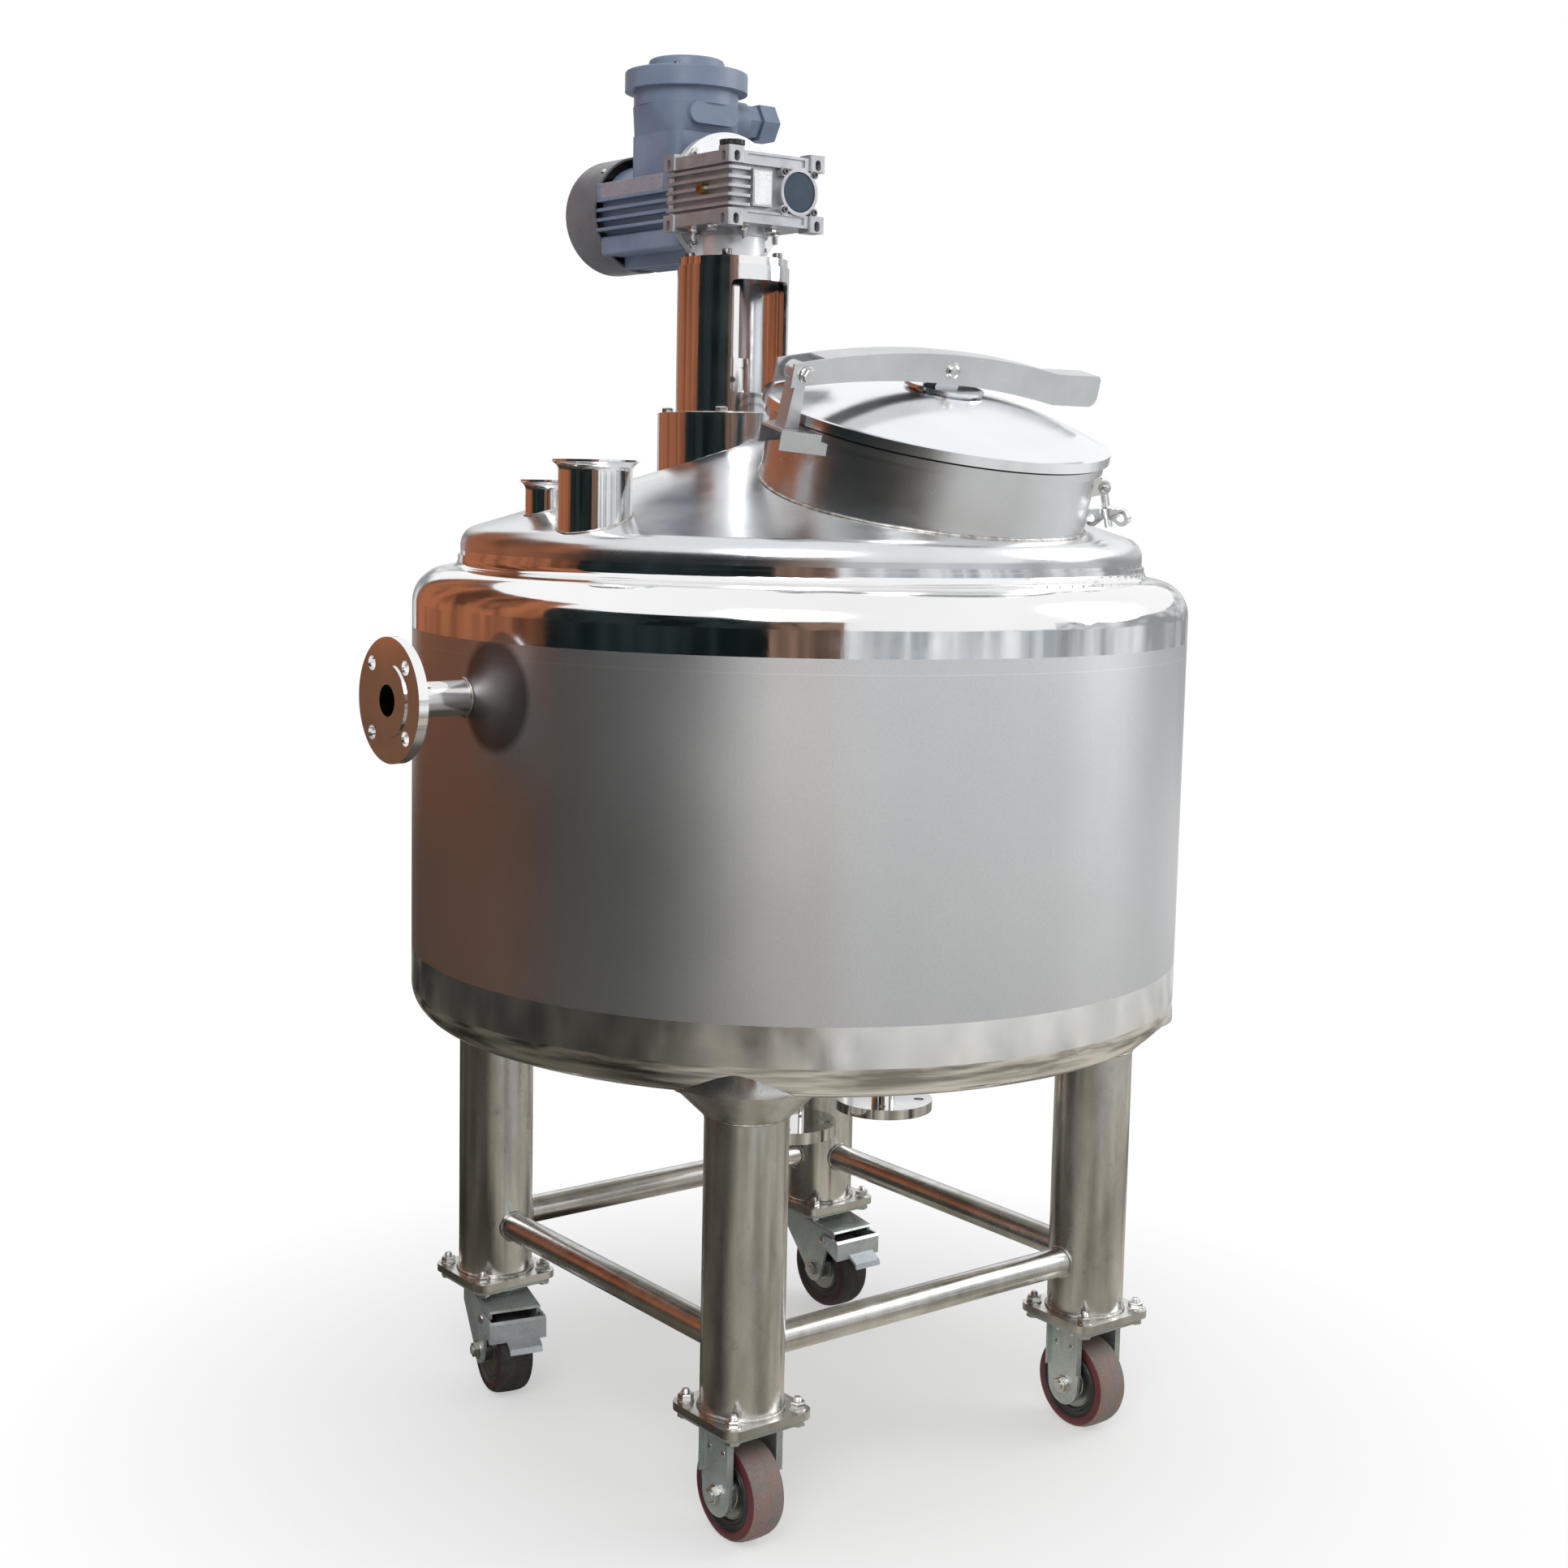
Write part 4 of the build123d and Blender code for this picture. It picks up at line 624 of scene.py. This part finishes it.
def washer(solid, place, axis, outer, bore, thick):
    """Washer on a face; gives the place of its upper side."""
    chamfer = thick * 0.3
    profile = [(0, bore), (0, outer), (thick * 0.7, outer), (thick, outer - chamfer), (thick, bore)]
    solid.lathe(place, axis, profile, 32, loop=True)
    return Vector(place) + Vector(axis) * thick


def stud(solid, place, axis, radius, length):
    """Threaded end that stands out of a nut."""
    pitch = 0.0015
    profile = [(0, radius * 0.9)]
    turns = max(1, int(length / pitch) - 1)
    for k in range(turns):
        profile += [((k + 0.5) * pitch, radius), ((k + 1) * pitch, radius * 0.88)]
    profile.append((length, radius * 0.7))
    solid.lathe(place, axis, profile, 20)


def screw(solid, place, axis, radius, height, socket=0.5):
    """Round screw head with a hexagon socket."""
    profile = [(0, radius), (height * 0.75, radius), (height, radius * 0.88)]
    inner = radius * socket
    solid.lathe(place, axis, profile + [(height, inner), (height * 0.4, inner)], 24)


def dome(solid, place, axis, radius, height):
    """Rivet or round-headed pin."""
    profile = [(0, radius)]
    for step in range(1, 5):
        a = math.radians(20 * step)
        profile.append((height * math.sin(a), radius * math.cos(a)))
    solid.lathe(place, axis, profile, 20)


# Washers as (radius, bore radius, thickness), and the head on each: a nut has its width across
# the flats and its height, the others have a radius and a height
FASTENER = {
    "pad": ((0.01054, 0.0045, 0.0016), hex_nut, (0.017, 0.008)),
    "axle": ((0.0125, 0.0061, 0.0015), hex_nut, (0.019, 0.0065)),
    "collar": ((0.0095, 0.0045, 0.0014), hex_nut, (0.014, 0.0068)),
    "head": ((0.0090, 0.0045, 0.0014), screw, (0.0068, 0.0080)),
    "gearbox": ((0.0085, 0.0040, 0.0014), hex_nut, (0.013, 0.0065)),
    "motor": ((0.0080, 0.0040, 0.0013), hex_nut, (0.0125, 0.0055)),
    "lever": ((0.0105, 0.0051, 0.0014), hex_nut, (0.0150, 0.0058)),
    "knuckle": ((0.0110, 0.0050, 0.0014), dome, (0.0092, 0.0048)),
    "ears": ((0.0075, 0.0041, 0.0012), dome, (0.0060, 0.0028)),
}


def fasten(solid, kind, place, axis, *turn):
    """Washer on a face and the head that goes with it; a nut also has its turn."""
    ring, head, size = FASTENER[kind]
    head(solid, washer(solid, place, axis, *ring), axis, *size, *turn)


# Paths along which sheets are welded
def circle_path(centre, radius, steps):
    angles = [math.tau * k / steps for k in range(steps)]
    return [Vector(centre) + Vector((math.cos(a), math.sin(a), 0)) * radius for a in angles]


def world_tree(name):
    """Faces of a node where it stands, for rays."""
    node = nodes[name]
    points = [node.matrix_world @ v.co for v in node.data.vertices]
    return BVHTree.FromPolygons(points, [p.vertices for p in node.data.polygons])


def seam_path(name, place, axis, radius, away, steps):
    """Line where a round tube meets a node, found by rays along the tube."""
    tree = world_tree(name)
    across = Vector((1, 0, 0))
    other = axis.cross(across)
    path = []
    for k in range(steps):
        a = math.tau * k / steps
        start = place + (across * math.cos(a) + other * math.sin(a)) * radius
        hit = tree.ray_cast(start + axis * away, -axis, 2 * away)[0]
        if hit is not None:
            path.append(hit)
    return path


# Fasteners of the frame and the casters
def caster_frame(corner):
    """Foot on the floor, axle direction, travel direction and axle place of a caster."""
    joint = JOINT["wheel_spin_" + corner]
    along = Vector(joint["axis"]).normalized()
    if along.x < 0:
        along = -along
    return foot_of(corner), along, UP.cross(along), Vector(joint["pos_m"])


def pad_fasteners():
    nuts = Solid()
    heads = Solid()
    random = Random(11)
    for corner in CORNERS:
        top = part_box("leg_" + corner)[0].z + PAD_THICK
        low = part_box(caster_plate(corner))[1].z - CASTER_PLATE_THICK
        for sx, sy in SIGNS:
            place = foot_of(corner, top) + Vector((sx * PAD_BOLT, sy * PAD_BOLT, 0))
            turn = random.uniform(0, 1)
            fasten(nuts, "pad", place, UP, turn)
            stud(nuts, place + UP * 0.0091, UP, 0.005, 0.006)
            place.z = low
            hex_nut(heads, place, -UP, 0.017, 0.0045, turn)
    nuts.make("pad_nuts", "tank", ["nut_steel"])
    heads.make("pad_bolt_heads", "tank", ["nut_steel"])


# Half of a wheel: distance from its middle, radius, and finish (tread, side, core, bearing)
WHEEL_HALF = [
    (0.0, 0.0625, 0),
    (0.0004, 0.0622, 0),
    (0.0012, 0.0624, 0),
    (0.008, 0.0623, 0),
    (0.015, 0.0617, 0),
    (0.0195, 0.0603, 0),
    (0.0225, 0.0582, 0),
    (0.0243, 0.0556, 1),
    (0.0249, 0.0525, 1),
    (0.0248, 0.0500, 1),
    (0.0240, 0.0480, 1),
    (0.0226, 0.0468, 2),
    (0.0206, 0.0460, 2),
    (0.0196, 0.0440, 2),
    (0.0194, 0.0405, 2),
    (0.0202, 0.0396, 2),
    (0.0214, 0.0386, 2),
    (0.0214, 0.0362, 2),
    (0.0200, 0.0348, 2),
    (0.0186, 0.0340, 2),
    (0.0184, 0.0325, 3),
    (0.0194, 0.0320, 3),
    (0.0196, 0.0255, 3),
    (0.0190, 0.0250, 3),
    (0.0190, 0.0215, 3),
    (0.0200, 0.0205, 3),
    (0.0200, 0.0168, 3),
    (0.0300, 0.0166, 3),
    (0.0310, 0.0156, 3),
    (0.0310, 0.0062, 3),
]


def wheels():
    """Tyres, cores and bearings, which stand for the plain wheels of the part."""
    for corner in CORNERS:
        _, along, _, centre = caster_frame(corner)
        right = [(h, r) for h, r, _ in WHEEL_HALF]
        marks = [m for _, _, m in WHEEL_HALF[1:]]
        profile = [(-h, r) for h, r in reversed(right[1:])] + right
        strips = list(reversed(marks)) + marks + [3]
        wheel = Solid()
        wheel.lathe(centre, along, profile, 96, loop=True, marks=strips)
        end = corner.split("_")[0]
        made = wheel.make(
            "tyre_" + corner,
            "wheel_" + corner,
            [end + "_tread", end + "_side", "wheel_core", "bearing_steel"],
            sharp=28,
        )
        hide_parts("wheel_" + corner)


def front_rivets(made, foot, along, travel):
    """Rivets on the outer cheeks of a rigid fork."""
    for way in (-1, 1):
        axis = along * way
        cheek = foot + axis * (CHEEK_OUT - 0.0002)
        for side in (-1, 1):
            for height in CHEEK_RIVETS:
                spot = cheek + travel * side * CHEEK_RIVET_ASIDE + UP * height
                dome(made, spot, axis, 0.0042, 0.0016)


def caster_fasteners():
    for corner in CORNERS:
        foot, along, travel, centre = caster_frame(corner)
        rear = corner.startswith("rear")
        body = "caster_" + corner.split("_")[1] if rear else "tank"
        made = Solid()
        for way in (-1, 1):
            axis = along * way
            fasten(made, "axle", centre + axis * CHEEK_OUT, axis, 0.3 + way * 0.2)
            if rear:
                pivot = foot + travel * BRAKE_PIVOT[0] + UP * BRAKE_PIVOT[1]
                dome(made, pivot + axis * (BRAKE_ARM_OUT + 0.0004), axis, 0.0066, 0.0036)
        if rear:
            hex_nut(made, foot + UP * SWIVEL_NUT_TOP, -UP, 0.022, 0.0075, 0.2)
            height, radius = SWIVEL_RACE
            made.bead(circle_path(foot + UP * height, radius, 96), 0.0016, 0.0)
        else:
            front_rivets(made, foot, along, travel)
        made.make("caster_nuts_" + corner, body, ["nut_steel"])


# Weld beads
def rail_path(start, along):
    """Line where a rail meets the leg round start, a little proud of both."""
    side = along.cross(UP)
    radius = RAIL_RADIUS + PROUD
    path = []
    for j in range(40):
        a = math.tau * j / 40
        reach = math.sqrt(LEG_RADIUS**2 - (RAIL_RADIUS * math.cos(a)) ** 2) + PROUD
        path.append(
            start + along * reach + side * radius * math.cos(a) + UP * radius * math.sin(a)
        )
    return path


def rail_seams():
    made = Solid()
    for k, (start, end) in enumerate(RAILS):
        for one, other in ((start, end), (end, start)):
            leg = foot_of(one, RAIL_HEIGHT)
            along = (foot_of(other, RAIL_HEIGHT) - leg).normalized()
            made.bead(rail_path(leg, along), 0.0022, 0.2, seed=k, axis=along)
    made.make("rail_welds", "tank", ["weld_steel"], SMOOTH)


def saddle_rings(corner, dish, random):
    """Rings of the edge that carries the rim of a saddle up on to the dish."""
    foot = foot_of(corner, SADDLE_LOW)
    inward = Vector((-foot.x, -foot.y, 0)).normalized()
    lean = (inward * EDGE_LEAN + UP).normalized()
    rings = []
    for j in range(96):
        a = math.tau * j / 96
        out = Vector((math.cos(a), math.sin(a), 0))
        flare = (out * SADDLE_SLOPE + UP).normalized()
        edge = dish.ray_cast(foot + out * LEG_RADIUS, flare, 0.2)[0]
        if edge is None or edge.z > SADDLE_HIGH:
            edge = foot + out * (LEG_RADIUS + (SADDLE_HIGH - SADDLE_LOW) * SADDLE_SLOPE)
            edge.z = SADDLE_HIGH
        above = dish.ray_cast(edge - inward * 0.0005 - UP * 0.001, lean, 0.06)[0]
        if above is None or above.z < edge.z:
            above = edge.copy()
        low = edge - UP * 0.0028 + out * 0.0005
        face = (edge * 0.6 + above * 0.4) - inward * (0.0008 + 0.0005 * random.random())
        rings.append([low, face, above + UP * 0.0022, above + inward * 0.004])
    return rings


def leg_seams():
    """Weld beads at both ends of the legs, and the edges of the saddles."""
    made = Solid()
    saddle = Solid()
    dish = world_tree("jacket_bottom")
    for k, corner in enumerate(CORNERS):
        pad = foot_of(corner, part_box("leg_" + corner)[0].z + PAD_THICK + 0.0008)
        made.bead(circle_path(pad, LEG_RADIUS + 0.0008, 80), 0.0026, 0.18, seed=k)
        saddle.skin(saddle_rings(corner, dish, Random(10 + k)), True)
        waist = circle_path(foot_of(corner, SADDLE_LOW), LEG_RADIUS + 0.0002, 80)
        made.bead(waist, 0.0012, 0.1, seed=20 + k)
    made.make("leg_welds", "tank", ["weld_steel"], SMOOTH)
    saddle.make("saddle_edges", "tank", ["tube_steel"], SMOOTH)


def vessel_seams():
    made = Solid()
    neck = seam_path("vessel_roof", MANWAY, MANWAY_AXIS, NECK_RADIUS + 0.0006, 0.09, 120)
    made.bead(neck, 0.0024, seed=1)
    for k, (name, radius) in enumerate(FERRULES):
        foot = seam_path("vessel_roof", middle(name), UP, radius + PROUD, 0.1, 64)
        made.bead(foot, 0.0017, seed=2 + k)
    collar = seam_path("vessel_roof", middle("agitator_collar"), UP, COLLAR_SEAM, 0.2, 96)
    made.bead(collar, 0.0026, seed=5)
    stand = middle("agitator_stand")
    stand.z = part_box("agitator_collar")[1].z + COLLAR_FLANGE + 0.0006
    made.bead(circle_path(stand, STAND_SEAM, 96), 0.0018, seed=6)
    for k, (name, radius) in enumerate(OUTLETS):
        root = seam_path("jacket_bottom", middle(name), -UP, radius + 0.0009, 0.3, 48)
        made.bead(root, 0.0018, seed=7 + k)
    made.make("vessel_welds", "tank", ["weld_steel"], SMOOTH)


def inlet_seams():
    made = Solid()
    radius = INLET_RADIUS + 0.0006
    wall, back = [], []
    for j in range(56):
        a = math.tau * j / 56
        y, z = math.cos(a) * radius, math.sin(a) * radius
        wall.append(Vector((-math.sqrt(JACKET_RADIUS**2 - y * y) - 0.0006, y, INLET_HEIGHT + z)))
        back.append(Vector((-INLET_FLANGE_BACK + 0.0006, y, INLET_HEIGHT + z)))
    made.bead(wall, 0.0021, seed=1, axis=(1, 0, 0))
    made.bead(back, 0.0017, 0.12, seed=2, axis=(1, 0, 0))
    made.make("inlet_welds", "tank", ["weld_steel"], SMOOTH)


# Agitator drive
def drive_fasteners():
    """Bolts of the collar's flange and of the stand's head, and those that hang the gearbox."""
    made = Solid()
    dark = Solid()
    random = Random(5)
    flange = Vector((AGITATOR.x, AGITATOR.y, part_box("agitator_collar")[1].z + COLLAR_FLANGE))
    head = Vector((AGITATOR.x, AGITATOR.y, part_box("stand_head")[1].z))
    under = Vector((AGITATOR.x, AGITATOR.y, GEAR_LOW))
    for a in DIAGONALS:
        out = Vector((math.cos(a), math.sin(a), 0))
        fasten(made, "collar", flange + out * COLLAR_BOLTS, UP, random.uniform(0, 1))
        fasten(dark, "head", head + out * HEAD_BOLTS, UP)
    for k in range(8):
        a = math.radians(45 * k + 22.5)
        spot = under + Vector((math.cos(a), math.sin(a), 0)) * GEAR_BOLTS
        fasten(made, "gearbox", spot, -UP, random.uniform(0, 1))
        if k % 2:
            stud(made, spot - UP * 0.0074, -UP, 0.0039, 0.012)
    made.make("drive_bolts", "tank", ["nut_steel"])
    dark.make("head_bolts", "tank", ["dark_steel"])


def coupling_screws():
    key = Solid()
    spot = middle("shaft_coupling") + COUPLING_FLAT
    for height in COUPLING_SCREWS:
        spot.z = height
        screw(key, spot, COUPLING_OUT, 0.0042, 0.0014, 0.55)
    key.make("coupling_screws", "agitator", ["dark_steel"])


def gearbox_details():
    low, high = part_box("gearbox_housing")
    front = (0, -1, 0)
    centre = Vector((GEAR_PLATE[0], low.y + 0.0020, GEAR_PLATE[1]))
    plate = Solid()
    plate.plate(centre, (1, 0, 0), (0, 0, 1), 0.0285, 0.0440, 0.0008, 0.0020)
    for sx, sz in SIGNS:
        spot = centre + Vector((sx * 0.0118, -0.0007, sz * 0.0195))
        dome(plate, spot, front, 0.0011, 0.0007)
    plate.make("gearbox_plate", "tank", ["bare_plate"])
    # Socket screws of the bearing cap's ring, in its four ears
    ring = Solid()
    cap = Vector((middle("worm_cap").x, low.y + 0.0004, GEAR_PLATE[1]))
    for a in DIAGONALS:
        spot = cap + Vector((math.cos(a), 0, math.sin(a))) * CAP_SCREWS
        screw(ring, spot, front, 0.0044, 0.0034, 0.55)
    # Nuts in the slots of the lugs, on either side
    for x in (low.x + 0.013, high.x - 0.013):
        for height in GEAR_LUGS:
            spot = (x, low.y + 0.0115, GEAR_LOW + height)
            hex_nut(ring, spot, front, 0.0082, 0.0036, 0.5)
    ring.make("gearbox_screws", "tank", ["dark_steel"])


def motor_plate():
    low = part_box("motor_body")[0]
    plate = Solid()
    centre = Vector((low.x + 0.0010, low.y + MOTOR_PAD_MIDDLE, MOTOR_PAD_HEIGHT))
    back = centre - Vector((0.0001, 0, 0))
    plate.plate(back, (0, -1, 0), (0, 0, 1), 0.158, 0.0225, 0.0008, 0.0025)
    for sy, sz in SIGNS:
        spot = centre + Vector((-0.0008, sy * 0.0740, sz * 0.0080))
        screw(plate, spot, (-1, 0, 0), 0.0018, 0.0010)
    plate.make("motor_plate", "tank", ["plate_tint"])


def motor_fasteners():
    """Bolts through the motor's flange, and the screws that hold the fan cowl."""
    made = Solid()
    axis = Vector((0, 1, 0))
    worm = Vector((MOTOR.x, 0, MOTOR.z))
    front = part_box("motor_flange")[0].y
    back = front + 0.012
    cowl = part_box("fan_cowl")[0].y + 0.014
    for a in DIAGONALS:
        out = Vector((math.cos(a), 0, math.sin(a)))
        spot = worm + out * MOTOR_BOLTS
        fasten(made, "motor", spot + axis * back, axis, 0.4)
        hex_nut(made, spot + axis * front, -axis, 0.0125, 0.0060, 0.4)
        stud(made, spot + axis * (front - 0.0055), -axis, 0.0036, 0.0050)
        dome(made, worm + out * (COWL_RADIUS - 0.0003) + axis * cowl, out, 0.0052, 0.0026)
    made.make("motor_bolts", "tank", ["nut_steel"])


def terminal_screws():
    made = Solid()
    lid = middle("terminal_lid")
    lid.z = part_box("terminal_lid")[0].z + 0.0138
    for a in DIAGONALS:
        spot = lid + Vector((math.cos(a), math.sin(a), 0)) * LID_SCREWS
        screw(made, spot, UP, 0.0052, 0.0045, 0.55)
    made.make("lid_screws", "tank", ["dark_steel"])


# Manway
def manway_hardware():
    """Ends of the lever's pin, the lid's pin and the pins of the swing bolts."""
    still = Solid()
    moving = Solid()
    for way in (-1, 1):
        out = MANWAY_REAR * way
        lever = on_manway(LEVER_PIN[0], way * (LEVER_HALF + 0.0005), LEVER_PIN[1])
        fasten(still, "lever", lever, out, 0.25)
        fasten(moving, "knuckle", on_manway(LID_PIN[0], way * LEVER_HALF, LID_PIN[1]), out)
    moving.make("lid_pin_heads", "lid", ["nut_steel"])
    for name in ("front", "side"):
        joint = JOINT[name + "_bolt_swing"]
        pivot, axis = Vector(joint["pos_m"]), Vector(joint["axis"]).normalized()
        for way in (-1, 1):
            out = axis * way
            fasten(still, "ears", pivot + out * EARS_OUT, out)
    still.make("manway_pin_heads", "tank", ["nut_steel"])


def added_pieces():
    pad_fasteners()
    wheels()
    caster_fasteners()
    rail_seams()
    leg_seams()
    vessel_seams()
    inlet_seams()
    drive_fasteners()
    coupling_screws()
    gearbox_details()
    motor_plate()
    motor_fasteners()
    terminal_screws()
    manway_hardware()


# Studio
def world():
    """White for what the camera, gloss and glass see, softer for the light on the object."""
    made = bpy.data.worlds.new("studio")
    scene.world = made
    made.use_nodes = True
    tree = made.node_tree
    tree.nodes.clear()
    path = tree.nodes.new("ShaderNodeLightPath")
    seen = path.outputs["Is Camera Ray"]
    for ray in ("Is Glossy Ray", "Is Transmission Ray"):
        either = tree.nodes.new("ShaderNodeMath")
        either.operation = "MAXIMUM"
        tree.links.new(seen, either.inputs[0])
        tree.links.new(path.outputs[ray], either.inputs[1])
        seen = either.outputs[0]
    light, shown = (tree.nodes.new("ShaderNodeBackground") for _ in range(2))
    light.inputs["Strength"].default_value = SKY_LIGHT
    blend = tree.nodes.new("ShaderNodeMixShader")
    tree.links.new(seen, blend.inputs[0])
    tree.links.new(light.outputs[0], blend.inputs[1])
    tree.links.new(shown.outputs[0], blend.inputs[2])
    for sky in (light, shown):
        sky.inputs["Color"].default_value = (1, 1, 1, 1)
    out = tree.nodes.new("ShaderNodeOutputWorld")
    tree.links.new(blend.outputs[0], out.inputs["Surface"])


def area_lamp(name, place, power):
    """Round soft lamp that looks at the middle of the tank."""
    data = bpy.data.lights.new(name, "AREA")
    data.shape = "DISK"
    data.size = 3.0
    data.energy = power
    lamp = bpy.data.objects.new(name, data)
    lamp.location = place
    aim = Vector((0, 0, 0.9)) - Vector(place)
    lamp.rotation_euler = aim.to_track_quat("-Z", "Y").to_euler()
    scene.collection.objects.link(lamp)


def floor():
    """Pale floor that fades into the white background away from the object."""
    mesh = bpy.data.meshes.new("floor")
    work = bmesh.new()
    bmesh.ops.create_circle(work, cap_ends=True, radius=FLOOR_RADIUS, segments=96)
    work.to_mesh(mesh)
    work.free()
    ground = bpy.data.objects.new("floor", mesh)
    scene.collection.objects.link(ground)
    t = Tree("floor")
    t.set(Roughness=0.9)
    t.shader.inputs["Base Color"].default_value = (0.86, 0.86, 0.86, 1)
    t.shader.inputs["Specular IOR Level"].default_value = 0.1
    distance = t.nodes.new("ShaderNodeVectorMath")
    distance.operation = "LENGTH"
    t.links.new(t.place, distance.inputs[0])
    away = t.span(distance.outputs["Value"], *FLOOR_FADE, FLOOR_CLEAR, 1.0)
    clear = t.nodes.new("ShaderNodeBsdfTransparent")
    blend = t.nodes.new("ShaderNodeMixShader")
    t.links.new(away, blend.inputs[0])
    t.links.new(t.shader.outputs[0], blend.inputs[1])
    t.links.new(clear.outputs[0], blend.inputs[2])
    t.links.new(blend.outputs[0], t.nodes["Material Output"].inputs["Surface"])
    mesh.materials.append(t.material)


def glowing(name):
    """Tree of a material that only gives out light, and the socket of its colour."""
    t = Tree(name)
    t.nodes.remove(t.shader)
    glow = t.nodes.new("ShaderNodeEmission")
    t.links.new(glow.outputs[0], t.nodes["Material Output"].inputs["Surface"])
    return t, glow.inputs["Color"]


def card_paint(name, dark, light, scale, stretch):
    """Soft patches between two colours, for a studio card."""
    t, colour = glowing(name)
    patches = t.noise(scale, 4, 0.5, stretch)
    t.links.new(t.ramp(patches, (0.4, dark), (0.6, light)), colour)
    return t.material


def turned(angle):
    """Point in plan on the ring of the cards, at an angle to the left of the camera."""
    a = FRONT - math.radians(angle)
    return WALL * math.cos(a), WALL * math.sin(a)


def card(name, points, faces, material):
    """Stage piece left to reflections alone: no shadow, no colour cast, not in view."""
    mesh = bpy.data.meshes.new(name)
    mesh.from_pydata(points, [], faces)
    mesh.materials.append(material)
    made = bpy.data.objects.new(name, mesh)
    scene.collection.objects.link(made)
    made.visible_camera = False
    made.visible_diffuse = False
    made.visible_shadow = False
    made.visible_transmission = False


def wall_card(name, start, stop, low, high, *looks):
    """Upright curved card, from start to stop degrees left of the camera."""
    steps = int((stop - start) / 3)
    points, faces = [], []
    for k in range(steps + 1):
        x, y = turned(start + (stop - start) * k / steps)
        points += [(x, y, low), (x, y, high)]
    for k in range(steps):
        faces.append((2 * k, 2 * k + 2, 2 * k + 3, 2 * k + 1))
    card(name, points, faces, card_paint(name, *looks))


# What the steel mirrors, each card with its name, its degrees left of the camera from start to
# stop, its low and high edge, its dark and light colour, and the scale and stretch of its patches
FLAT = (1, 1, 1)
TALL = (1, 1, 0.3)
CARDS = (
    ("brick_card", 74, 150, 0.55, 6.0, (0.10, 0.040, 0.022), (0.38, 0.135, 0.065), 0.9, TALL),
    ("brick_foot", 74, 150, 0.0, 0.55, (0.040, 0.024, 0.018), (0.20, 0.095, 0.055), 0.9, TALL),
    ("dark_card", 7, 74, 0.0, 4.2, (0.006, 0.010, 0.010), (0.020, 0.030, 0.030), 0.8, FLAT),
    ("front_card", -12, 7, 0.0, 3.4, (0.08, 0.05, 0.035), (0.26, 0.16, 0.12), 2.0, TALL),
    ("far_card", -75, -12, 0.0, 1.4, (0.38, 0.41, 0.44), (0.90, 0.92, 0.94), 1.6, (1, 1, 0.4)),
    ("back_card", -210, -75, 0.0, 2.4, (0.30, 0.31, 0.32), (0.80, 0.81, 0.82), 0.8, FLAT),
)


def ground_paint():
    """Mirrored ground with soft patches: dark on the left, pale on the right, paler far off."""
    t, colour = glowing("ground_card")
    x, y, _ = t.add("SeparateXYZ", Vector=t.place).outputs
    left = FRONT - math.pi / 2
    across, along = t.math("MULTIPLY", x, math.cos(left)), t.math("MULTIPLY", y, math.sin(left))
    square = t.math("ADD", t.math("MULTIPLY", x, x), t.math("MULTIPLY", y, y))
    distance = t.math("POWER", square, 0.5)
    # Sine of the angle to the left of the camera, with an uneven edge
    sine = t.math("DIVIDE", t.math("ADD", across, along), distance)
    turn = t.math("ADD", sine, t.span(t.noise(2.5, 5), 0.3, 0.7, -0.16, 0.16))
    patch = t.noise(1.5)
    pale = t.ramp(patch, (0.4, (0.20, 0.185, 0.155)), (0.6, (0.56, 0.52, 0.44)))
    dark = t.ramp(patch, (0.4, (0.022, 0.020, 0.016)), (0.6, (0.115, 0.103, 0.080)))
    near = t.mix(t.span(turn, 0.30, 0.62, 0.0, 1.0), pale, dark)
    far = t.ramp(
        t.span(turn, -0.5, 0.5, 0.0, 1.0),
        (0.18, (0.86, 0.88, 0.89)),
        (0.36, (0.50, 0.50, 0.49)),
        (0.52, (0.12, 0.11, 0.105)),
        (0.66, (0.035, 0.035, 0.034)),
    )
    t.links.new(t.mix(t.span(distance, 1.8, 4.2, 0.0, 1.0), near, far), colour)
    return t.material


def ground_card():
    rim = [(*turned(5 * k), GROUND_LIFT) for k in range(72)]
    faces = [(0, k + 1, (k + 1) % 72 + 1) for k in range(72)]
    card("ground_card", [(0, 0, GROUND_LIFT)] + rim, faces, ground_paint())


def studio():
    world()
    floor()
    area_lamp("key", (-3.2, -3.4, 4.2), 110)
    area_lamp("fill", (3.6, -2.0, 3.0), 60)
    for looks in CARDS:
        wall_card(*looks)
    ground_card()


photo_camera()
dress_nodes()
added_pieces()
studio()
